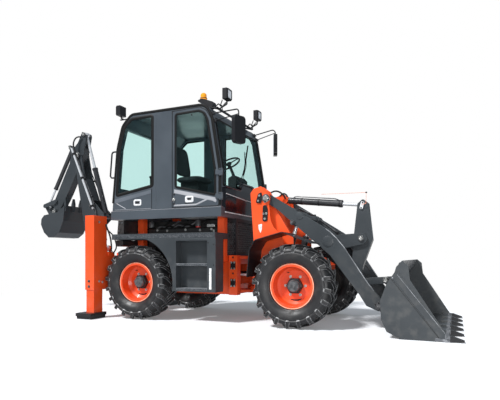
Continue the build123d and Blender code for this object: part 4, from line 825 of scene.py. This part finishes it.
# ---------------------------------------------------------------- Engine bay
# Under the boards dark moulded tanks stand as side walls on each side of the engine, with a liner over it,
# three filters, five hoses, a red cap, a row of fittings and a bright plate; all stay inside the boards.
oily = stock("oily black", (0.006, 0.006, 0.007), (0.022, 0.021, 0.020), 0.5)
red_cap = stock("red cap", (0.35, 0.01, 0.008), (0.50, 0.02, 0.015), 0.35)
for hand, side in sides:
    inner = side * 0.29
    outer = side * 0.435
    piece("tank_" + hand, block((-1.245, inner, 0.945), (-0.995, outer, 1.445)), oily,
          "rear_body", bevel=0.02)
    for name, outline, cut in (
            ("oil_tank_", [(-1.225, 1.243), (-1.205, 1.452), (-1.105, 1.452), (-1.105, 1.243)], 0.015),
            ("tank_cradle_", [(-1.235, 1.060), (-1.245, 1.156), (-1.125, 1.156), (-1.125, 1.075)], 0.012)):
        piece(name + hand, side_plate(rounded(outline, cut), side * 0.41, side * 0.865), oily,
              "rear_body", bevel=0.006)
    spots = at_side([(-1.185, 1.29), (-1.185, 1.41), (-1.13, 1.41)], side * 0.868)
    piece("tank_bolts_" + hand, bolts(spots, (0, side, 0), 0.010), cast, "rear_body")
    piece("side_tank_" + hand, block((-0.975, inner, 0.94), (0.235, outer, 1.345)), oily,
          "rear_body", bevel=0.02)
    piece("bay_liner_" + hand, block((-1.09, 0, 1.38), (0.24, side * 0.285, 1.457)), oily,
          "rear_body")
    y = side * 0.405
    for n, (x, z) in enumerate([(-1.16, 1.11), (-0.93, 1.41), (-0.10, 1.41)]):
        can = turned([(-0.05, 0.036), (-0.045, 0.042), (0.03, 0.042), (0.04, 0.036), (0.042, 0.014),
                      (0.055, 0.014)], (x, y, z), (0, 0, 1), 20)
        piece("filter_%s_%d" % (hand, n), can, cast, "rear_body")
    for k in range(5):
        x = -0.82 + 0.16 * k
        hose = [(x - 0.22, y, 1.315), (x - 0.10, y + 0.02 * side, 1.36 + 0.012 * k),
                (x + 0.05, y, 1.335 + 0.02 * (k % 2)), (x + 0.16, y - 0.02 * side, 1.41),
                (x + 0.20, y - 0.05 * side, 1.455)]
        # Every second hose is the grey dark casting in place of black rubber: painted highlight.
        piece("bay_hose_%s_%d" % (hand, k), tube(bent(hose, 0.05), 0.013, steps=8), (seal, cast)[k % 2],
              "rear_body")
    cap = turned([(0, 0.036), (0.028, 0.036), (0.036, 0.028)], (-0.10, side * 0.41, 1.345), (0, 0, 1), 20)
    piece("bay_cap_" + hand, cap, red_cap, "rear_body")
    spots = at_side([(-0.80, 1.315), (-0.62, 1.305), (-0.30, 1.315), (-0.05, 1.305), (0.14, 1.315),
                     (0.18, 1.290)], side * 0.437)
    piece("bay_fittings_" + hand, bolts(spots, (0, side, 0), 0.012), zinc, "rear_body")
    piece("bay_plate_" + hand, block((0.06, side * 0.37, 1.347), (0.19, side * 0.43, 1.392)), zinc,
          "rear_body", bevel=0.004)

# ---------------------------------------------------------------- Frame joint
# Cast four-lobed blocks, black against the orange posts, hold the articulation with four zinc bolts each;
# two black bolts sit between them on each post.
clover = rounded(oblong(0, 0, 0.038, 0.062), 0.03, 7)
clover *= 1 - 0.24 * np.exp(-(clover[:, :1] / 0.016) ** 2) - 0.30 * np.exp(-(clover[:, 1:] / 0.02) ** 2)
post_x = 0.5
for hand, side in sides:
    for level, z in (("low", 0.535), ("high", 0.785)):
        lobes = side_plate(clover + (post_x, z), side * 0.448, side * 0.470)
        piece("joint_block_%s_%s" % (level, hand), lobes, black, "rear_body", bevel=0.003)
        corners = at_side(oblong(post_x, z, 0.024, 0.044), side * 0.470)
        piece("joint_bolts_%s_%s" % (level, hand), bolts(corners, (0, side, 0), 0.010), zinc,
              "rear_body")
    posts = at_side([(0.495, 0.67), (0.495, 0.90)], side * 0.45)
    piece("post_bolts_" + hand, bolts(posts, (0, side, 0), 0.009), black, "rear_body")

# ---------------------------------------------------------------- Towers
# Each welded tower carries the arms' pivot with its pin end and keeper, a black hose bracket on three zinc
# bolts, a clip on two, a blank shield plate, three black bolts low on its face and a weld bead across it.


def pin_end(name, x, y, z, side, radius, body, lean=0.0, bright_pin=True):
    """A pin's bright face in a dark collar, held by an oblong keeper on two bolts, with a grease nipple."""
    out = np.array([0, side, 0])
    at = np.array([x, y, z])
    collar = turned([(-0.004, 1.55 * radius), (0.008, 1.55 * radius), (0.011, 1.42 * radius)], at, out, 28)
    piece(name + "_collar", collar, cast, body)
    face = turned([(0.008, radius), (0.019, radius), (0.022, 0.88 * radius), (0.020, 0.3 * radius)],
                  at, out, 28)
    piece(name + "_face", face, zinc if bright_pin else cast, body)
    along = np.array([math.cos(lean), 0, math.sin(lean)])
    up = np.array([-math.sin(lean), 0, math.cos(lean)])
    middle = at + out * 0.010 + along * radius * 1.15
    strap = rounded(oblong(0, 0, 1.25 * radius, 0.42 * radius), 0.35 * radius)
    rows = np.stack([middle + out * d + strap[:, :1] * up + strap[:, 1:] * along for d in (0.0, 0.009)])
    piece(name + "_keeper", capped(rows), zinc if bright_pin else cast, body)
    spots = [middle + out * 0.009 + up * radius * 0.75 * k for k in (-1, 1)]
    piece(name + "_bolts", bolts(spots, out, 0.24 * radius), black, body)
    piece(name + "_nipple", turned([(0.02, 0.004), (0.030, 0.004), (0.034, 0.0025)], at, out, 8), zinc,
          body)


f = Finish("hose rubber")
weave = f.noise(330, 1)
rubber_shades = f.mix(f.noise(9, 3), (0.010, 0.010, 0.010, 1), (0.020, 0.020, 0.020, 1))
hose_rubber = f.done(f.shader(Base_Color=rubber_shades, Roughness=0.45 + 0.2 * weave,
                              Normal=f.bump(weave, 0.0006, 0.4)))
tower_face = 0.54
bracket = rounded([(0.990, 1.395), (1.060, 1.395), (1.068, 1.560), (1.045, 1.625), (0.995, 1.610)], 0.025)
clip = rounded([(0.892, 1.655), (0.962, 1.640), (0.985, 1.700), (0.975, 1.800), (0.925, 1.775)], 0.015)
shield = rounded([(0.925, 1.350), (0.980, 1.362), (0.978, 1.290), (0.958, 1.235), (0.932, 1.290)], 0.008)
for hand, side in sides:
    y = side * tower_face
    pin_end("arm_pin_" + hand, 1.040, side * 0.55, 1.712, side, 0.036, "front_body", math.radians(-60))
    # Each plate with its thickness, its bolts' places and their size.
    for name, outline, thick, spots, size in (
            ("tower_bracket_", bracket, 0.014, [(1.006, 1.500), (1.046, 1.502), (1.026, 1.430)], 0.011),
            ("tower_clip_", clip, 0.018, [(0.93, 1.68), (0.945, 1.75)], 0.009)):
        face = y + thick * side
        piece(name + hand, side_plate(outline, y - 0.002 * side, face), black, "front_body",
              bevel=0.003)
        piece(name + "bolts_" + hand, bolts(at_side(spots, face), (0, side, 0), size), zinc,
              "front_body")
    piece("blank_plate_" + hand, side_plate(shield, y, y + 0.0025 * side), bright, "front_body")
    spots = at_side([(0.93, 0.78), (0.93, 0.90), (1.05, 0.78)], y)
    piece("tower_bolts_" + hand, bolts(spots, (0, side, 0), 0.011), black, "front_body")
    weld = tube(at_side([(0.845, 0.905), (1.26, 0.905)], y), 0.004, 0.008, steps=6)
    piece("tower_weld_" + hand, weld, orange, "front_body")

# ---------------------------------------------------------------- Loader arms
# Boxed plate arms with pin ends at the bucket and the lift rod and the round ends of the two cross tubes. A
# steel pipe is clamped along each inner face, and a painted highlight runs down the plate's top edge ahead of
# the knee.
# Streaked bare steel: real wear on the heel plates, painted highlight on the arm and bucket edge beads.
f = Finish("steel wear and painted highlight")
drawn = f.node("ShaderNodeMapping", {}, {"Vector": f.place(), "Scale": (3, 60, 3)})["Vector"]
streak = f.node("ShaderNodeTexNoise", {}, {"Vector": drawn, "Scale": 3.0, "Detail": 5.0})["Fac"]
worn_shades = f.mix(streak.step(0.35, 0.7), (0.10, 0.105, 0.115, 1), (0.42, 0.43, 0.45, 1))
wear_and_highlight = f.done(f.shader(Base_Color=worn_shades, Metallic=0.6 * streak, Roughness=0.36 + 0.2 * streak,
                       Normal=f.bump(streak, 0.001, 0.4)))
arm_face = 0.51
highlight_edge = [(1.86, 1.279), (1.92, 1.235), (2.00, 1.157), (2.10, 1.038), (2.20, 0.886), (2.40, 0.583),
       (2.48, 0.483)]
for hand, side in sides:
    pin_end("bucket_pin_" + hand, 2.545, side * 0.57, 0.300, side, 0.030, "arms", math.radians(120), False)
    pin_end("lift_pin_" + hand, 1.410, side * arm_face, 1.370, side, 0.022, "arms", math.radians(60), False)
    arm_tube = turned([(-0.004, 0.052), (0.004, 0.052), (0.006, 0.046)], (1.505, side * arm_face, 1.458),
                      (0, side, 0), 32)
    piece("arm_tube_end_" + hand, arm_tube, steel_grey, "arms")
    knee_tube = turned([(-0.004, 0.074), (0.004, 0.074), (0.007, 0.066)], (1.890, side * arm_face, 1.110),
                       (0, side, 0), 32)
    piece("knee_tube_end_" + hand, knee_tube, steel_grey, "arms")
    pipe = at_side([(1.20, 1.66), (1.45, 1.535), (1.80, 1.27), (2.05, 0.99), (2.28, 0.72)], side * 0.435)
    piece("arm_pipe_" + hand, tube(bent(pipe, 0.06), 0.009, steps=8), cast, "arms")
    clamps = moved(block((-0.02, -0.016, -0.016), (0.02, 0.016, 0.016)), pipe[1:4])
    piece("arm_pipe_clamps_" + hand, clamps, black, "arms", bevel=0.003)
    edge = tube(at_side(highlight_edge, side * (arm_face - 0.0005)), 0.003, 0.006, steps=6)
    piece("arm_edge_" + hand, edge, wear_and_highlight, "arms")

# ---------------------------------------------------------------- Crank and tilt cylinder
# The forged crank swings on its boss; its pins have oblong keepers. The tilt barrel has a gland collar, a
# pipe in two clamps along its top to the far port, two hoses at its foot and a thin level rod over it.


def hoop(profile, centre, axis, steps=24):
    """A ring: a closed section of (distance along the axis, radius) rows turned about the axis."""
    d, r = np.array(profile, float).T[:, :, None]
    t = np.linspace(0, 2 * np.pi, steps, endpoint=False)
    ring = np.stack([r * np.cos(t), r * np.sin(t), d + 0 * t], -1) @ frame_of(axis) + centre
    return grid(ring, across_closed=True, along_closed=True)


pin_end("crank_pivot", 2.247, -0.105, 1.155, -1, 0.024, "arms", math.radians(100))
strap = rounded(oblong(0, 0, 0.052, 0.022), 0.018)
lean = math.radians(75)
leaning = np.array([(math.cos(lean), math.sin(lean)), (-math.sin(lean), math.cos(lean))])
strap = strap @ leaning + (2.252, 1.612)
for hand, side in sides:
    face = side * 0.068
    piece("crank_top_keeper_" + hand, side_plate(strap, side * 0.057, face), bright, "crank",
          bevel=0.002)
    spots = at_side([(2.263, 1.648), (2.241, 1.576)], face)
    piece("crank_top_bolts_" + hand, bolts(spots, (0, side, 0), 0.008), cast, "crank")
pin_end("crank_foot", 2.150, -0.085, 0.565, -1, 0.024, "crank", math.radians(40))
pin_end("crank_pivot_left", 2.247, 0.105, 1.155, 1, 0.034, "arms", math.radians(100))
pin_end("link_pin", 2.572, -0.098, 0.598, -1, 0.026, "front_bucket", math.radians(90))
base = np.array([1.130, 0, 1.735])
tip = np.array([2.255, 0, 1.620])
ahead = (tip - base) / np.linalg.norm(tip - base)
over = np.array([-ahead[2], 0, ahead[0]])
collar = hoop([(0.800, 0.044), (0.802, 0.052), (0.846, 0.052), (0.8520, 0.047), (0.8520, 0.0265),
               (0.800, 0.0265)], base, ahead, 32)
piece("tilt_gland", collar, black, "tilt_cylinder")
pipe = base + np.array([(0.12, 0.040), (0.15, 0.066), (0.74, 0.066), (0.80, 0.045)]) @ np.stack([ahead, over])
piece("tilt_pipe", tube(bent(pipe, 0.03), 0.008, steps=8), cast, "tilt_cylinder")
clamps = [hoop([(d, 0.049), (d + 0.02, 0.049), (d + 0.02, 0.045), (d, 0.045)], base, ahead, 28)
          for d in (0.25, 0.5)]
piece("tilt_clamps", joined(clamps), black, "tilt_cylinder")
for n, sway in enumerate((-0.05, 0.05)):
    loop = base + [(0.02, sway, 0.02), (0.0, sway * 2.0, 0.085), (-0.09, sway * 3.2, 0.135),
                   (-0.19, sway * 4.5, 0.07), (-0.23, sway * 5.2, -0.05)]
    piece("tilt_hose_%d" % n, tube(bent(loop, 0.06, 7), 0.012, steps=10), hose_rubber,
          "front_body")
rod_side = -0.088
level = tip + [(0, -0.0685, 0), (0, rod_side, 0), (0.056, rod_side, 0.01), (0.060, rod_side, 0.160),
               (-0.56, rod_side, 0.166)]
piece("level_rod", tube(bent(level, 0.012), 0.0032, steps=6), highlight_salmon, "tilt_piston")
bead = turned([(-0.012, 0.006), (-0.006, 0.010), (0.006, 0.010), (0.012, 0.006)], level[3], (1, 0, 0), 12)
piece("level_bead", bead, black, "tilt_piston")
for hand, side in sides:
    y = side * 0.30
    loop = [(1.13, y - side * 0.03, 0.60), (1.00, y, 0.72), (0.93, y, 0.90), (0.95, y + side * 0.04, 1.15)]
    piece("lift_hose_" + hand, tube(bent(loop, 0.08, 7), 0.012, steps=8), hose_rubber,
          "front_body")

# ---------------------------------------------------------------- Buckets
# The loader bucket is welded plate. Each side has a cutter strip along its slanted front edge, with painted
# highlights along its front and top, a dark seam behind it and a worn heel plate; a weld bead runs across the
# back.
bucket_face = 1.133
strip_face = 1.1415
side_edge = np.array([(2.842, 0.727), (3.342, 0.092)])
along = (side_edge[1] - side_edge[0]) / np.linalg.norm(side_edge[1] - side_edge[0])
back = np.array([along[1], -along[0]])
strip = np.concatenate([side_edge + back * 0.012, (side_edge + back * 0.085)[::-1]])
heel = [(3.215, 0.006), (3.350, 0.006), (3.335, 0.034), (3.225, 0.040)]
for hand, side in sides:
    piece("side_cutter_" + hand, side_plate(strip, side * bucket_face, side * strip_face), steel_grey,
          "front_bucket", bevel=0.002)
    line = at_side(side_edge + back * 0.098, side * 1.1352)
    piece("side_seam_" + hand, tube(line, 0.0015, 0.006, steps=6), shadow, "front_bucket")
    for name, line in (("side_rub_", side_edge + back * 0.016),
                       ("side_cap_", side_edge[0] + back * [[0.014], [0.085]])):
        piece(name + hand, tube(at_side(line, side * strip_face), 0.003, 0.007, steps=6), wear_and_highlight,
              "front_bucket")
    piece("heel_plate_" + hand, side_plate(heel, side * bucket_face, side * 1.142), wear_and_highlight,
          "front_bucket", bevel=0.002)
weld = [(2.672, -1.10, 0.330), (2.672, 1.10, 0.330)]
piece("back_weld", tube(weld, 0.004, 0.009, steps=6), steel_grey, "front_bucket")

# ---------------------------------------------------------------- Digging arm
# Steel pins with keepers at every joint, a pipe clamped down each side of the boom, a hose loop from its
# top to the stick's head, and a chrome guide bar on three clamped feet at the right side.
arm_pins = (
    # name, x, distance from the middle plane, z, radius, body, keeper's lean in degrees, bright or dark
    ("stick_pin_", -2.700, 0.119, 2.690, 0.034, "hoe_boom", 80, True),
    ("barrel_pin_", -2.395, 0.114, 1.800, 0.024, "hoe_boom", 20, False),
    ("stick_foot_pin_", -2.140, 0.114, 1.600, 0.022, "hoe_boom", 200, False),
    ("stick_top_pin_", -2.590, 0.078, 3.060, 0.024, "hoe_stick", 150, True),
    ("hoe_pin_", -3.238, 0.115, 1.724, 0.026, "hoe_stick", -30, True),
    ("hoe_base_pin_", -2.905, 0.067, 2.860, 0.022, "hoe_stick", 100, True),
    ("boom_foot_pin_", -2.290, 0.165, 0.640, 0.034, "swing", 180, True),
    ("ear_pin_", -3.335, 0.120, 1.600, 0.022, "rear_bucket", 40, True),
)
for hand, side in sides:
    for name, x, apart, z, radius, body, lean, bright_pin in arm_pins:
        pin_end(name + hand, x, side * apart, z, side, radius, body, math.radians(lean), bright_pin)
    y = side * 0.128
    pipe = [(-2.665, y - 0.004 * side, 2.60), (-2.60, y, 2.42), (-2.36, y, 1.95), (-2.27, y, 1.66),
            (-2.28, y, 1.20), (-2.27, y, 0.86)]
    piece("boom_pipe_" + hand, tube(bent(pipe, 0.05), 0.009, steps=8), cast, "hoe_boom")
    clamps = moved(block((-0.022, -0.018, -0.014), (0.022, 0.018, 0.014)),
                   at_side([(-2.52, 2.26), (-2.36, 1.95), (-2.275, 1.45)], y))
    piece("boom_pipe_clamps_" + hand, clamps, black, "hoe_boom", bevel=0.003)
    loop = [(-2.665, y, 2.60), (-2.72, y + 0.02 * side, 2.74), (-2.76, y + 0.03 * side, 2.90),
            (-2.72, y, 3.02), (-2.64, y - 0.03 * side, 3.02)]
    piece("stick_hose_" + hand, tube(bent(loop, 0.06, 7), 0.014, steps=8), hose_rubber,
          "hoe_boom")
rail = np.array([(-2.794, -0.152, 2.820), (-2.313, -0.152, 1.735)])
seats = [rail[0] + (rail[1] - rail[0]) * d for d in (0.10, 0.5, 0.96)]
rings = [turned([(-0.02, 0.028), (0.02, 0.028)], spot, rail[1] - rail[0], 16) for spot in seats]
feet = moved(block((-0.02, 0, -0.014), (0.02, 0.05, 0.014)), seats)
piece("boom_guide", tube(rail, 0.020, steps=16), chrome, "hoe_boom")
piece("boom_guide_clamps", joined(rings), black, "hoe_boom")
piece("boom_guide_feet", feet, black, "hoe_boom", bevel=0.003)

# ---------------------------------------------------------------- Slide frame and stabilisers
# The square stabiliser tubes carry bolts on their outer and front faces. Two hoses hang beside each tube
# down to the slide frame's beam, where an orange clamp block is bolted on.
for hand, side in sides:
    spots = at_side([(-1.55, 0.55), (-1.55, 0.47)], side * 1.10)
    piece("tube_bolts_" + hand, bolts(spots, (0, side, 0), 0.014), cast, "rear_body")
    ahead = [(-1.455, side * 0.99, 0.545), (-1.455, side * 0.92, 0.530), (-1.455, side * 0.99, 1.427)]
    piece("tube_face_bolts_" + hand, bolts(ahead, (1, 0, 0), 0.013), zinc, "rear_body")
    for name, thick, hose in (
            ("leg_hose_", 0.012, [(-1.44, 0.86, 1.40), (-1.40, 0.80, 1.20), (-1.41, 0.76, 1.02),
                                  (-1.47, 0.74, 0.935)]),
            ("leg_return_", 0.010, [(-1.44, 0.84, 1.33), (-1.37, 0.75, 1.22), (-1.36, 0.70, 1.05),
                                    (-1.46, 0.69, 0.935)])):
        path = bent(np.array(hose) * (1, side, 1), 0.06, 7)
        piece(name + hand, tube(path, thick, steps=8), hose_rubber, "rear_body")
    clamp = block((-1.50, side * 0.66, 0.93), (-1.435, side * 0.80, 0.985))
    piece("slide_clamp_" + hand, clamp, orange, "rear_body", bevel=0.006)
    spots = [(-1.467, side * 0.69, 0.985), (-1.467, side * 0.77, 0.985)]
    piece("slide_clamp_bolts_" + hand, bolts(spots, (0, 0, 1), 0.013), zinc, "rear_body")

# ---------------------------------------------------------------- Seat
# A padded driver's chair: a crowned cushion and a back with pulled-in sides, foam under woven cloth. Each is
# a pillow form swollen a little as cloth; they take the place of the plain blocks.


def cushion(middle, size, up, crown, count=26):
    """A pillow on a grid (i, j) from -1 to 1: half thickness = thick / 2 ((1 - i^6) (1 - j^6))^0.35, plus on
    top a crown of crown thick (1 - i^2) (1 - j^2). Towards the corners each half width shrinks by
    (1 - 0.18 other^6)^0.5, and the two sides are pulled in by up to 5 %."""
    wide, deep, thick = size
    a = np.sin(np.linspace(-np.pi / 2, np.pi / 2, count))
    i, j = np.meshgrid(a, a, indexing="ij")
    room = np.sqrt(np.maximum(1 - i ** 6, 0)) * np.sqrt(np.maximum(1 - j ** 6, 0))
    pull = 1 - 0.05 * (1 - i ** 2) * j ** 4
    x = deep * j * np.sqrt(1 - 0.18 * i ** 6) / 2
    y = wide * i * np.sqrt(1 - 0.18 * j ** 6) / 2 * pull
    top = thick * (0.5 * room ** 0.7 + crown * (1 - i ** 2) * (1 - j ** 2))
    low = -thick * 0.5 * room ** 0.7
    normal = np.array(up) / np.linalg.norm(up)
    across = np.array([0, 1.0, 0])
    along = np.cross(across, normal)
    flat = middle + x[..., None] * along + y[..., None] * across
    return joined([grid(flat + height[..., None] * normal) for height in (top, low)])


def swollen(form, cap=0.008):
    """The form blown up as closed cloth: an even skin of small quads under inner pressure without weight
    for 20 frames; each point's way is cut to the cap."""
    pad = piece("pad", form, seat_cloth, None, sharp=0)
    skin = pad.modifiers.new("skin", "REMESH")
    skin.mode, skin.voxel_size = "VOXEL", 0.006
    pad.data = bpy.data.meshes.new_from_object(pad.evaluated_get(bpy.context.evaluated_depsgraph_get()))
    pad.modifiers.clear()
    count = len(pad.data.vertices)
    start = np.empty(count * 3)
    pad.data.vertices.foreach_get("co", start)
    cloth = pad.modifiers.new("cloth", "CLOTH").settings
    cloth.use_pressure, cloth.uniform_pressure_force, cloth.effector_weights.gravity = True, 4, 0
    for step in range(1, 21):
        scene.frame_set(step)
    end = np.empty(count * 3)
    pad.evaluated_get(bpy.context.evaluated_depsgraph_get()).data.vertices.foreach_get("co", end)
    scene.frame_set(1)
    way = (end - start).reshape(-1, 3)
    way *= np.minimum(1, cap / np.maximum(np.linalg.norm(way, axis=1), 1e-9))[:, None]
    faces = [np.array([list(face.vertices)]) for face in pad.data.polygons]
    bpy.data.objects.remove(pad)
    return start.reshape(-1, 3) + way, faces


cushion_form = cushion(np.array([-0.395, 0.0, 2.115]), (0.46, 0.46, 0.072), (0, 0, 1), 0.2)
back_form = cushion(np.array([-0.632, 0.0, 2.430]), (0.42, 0.49, 0.062), (0.985, 0, 0.17), 0.22)
seat = piece("seat_cushion", swollen(cushion_form), seat_cloth, "rear_body", sharp=0, levels=1)
back = piece("seat_back", swollen(back_form), seat_cloth, "rear_body", sharp=0, levels=1)
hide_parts("seat")
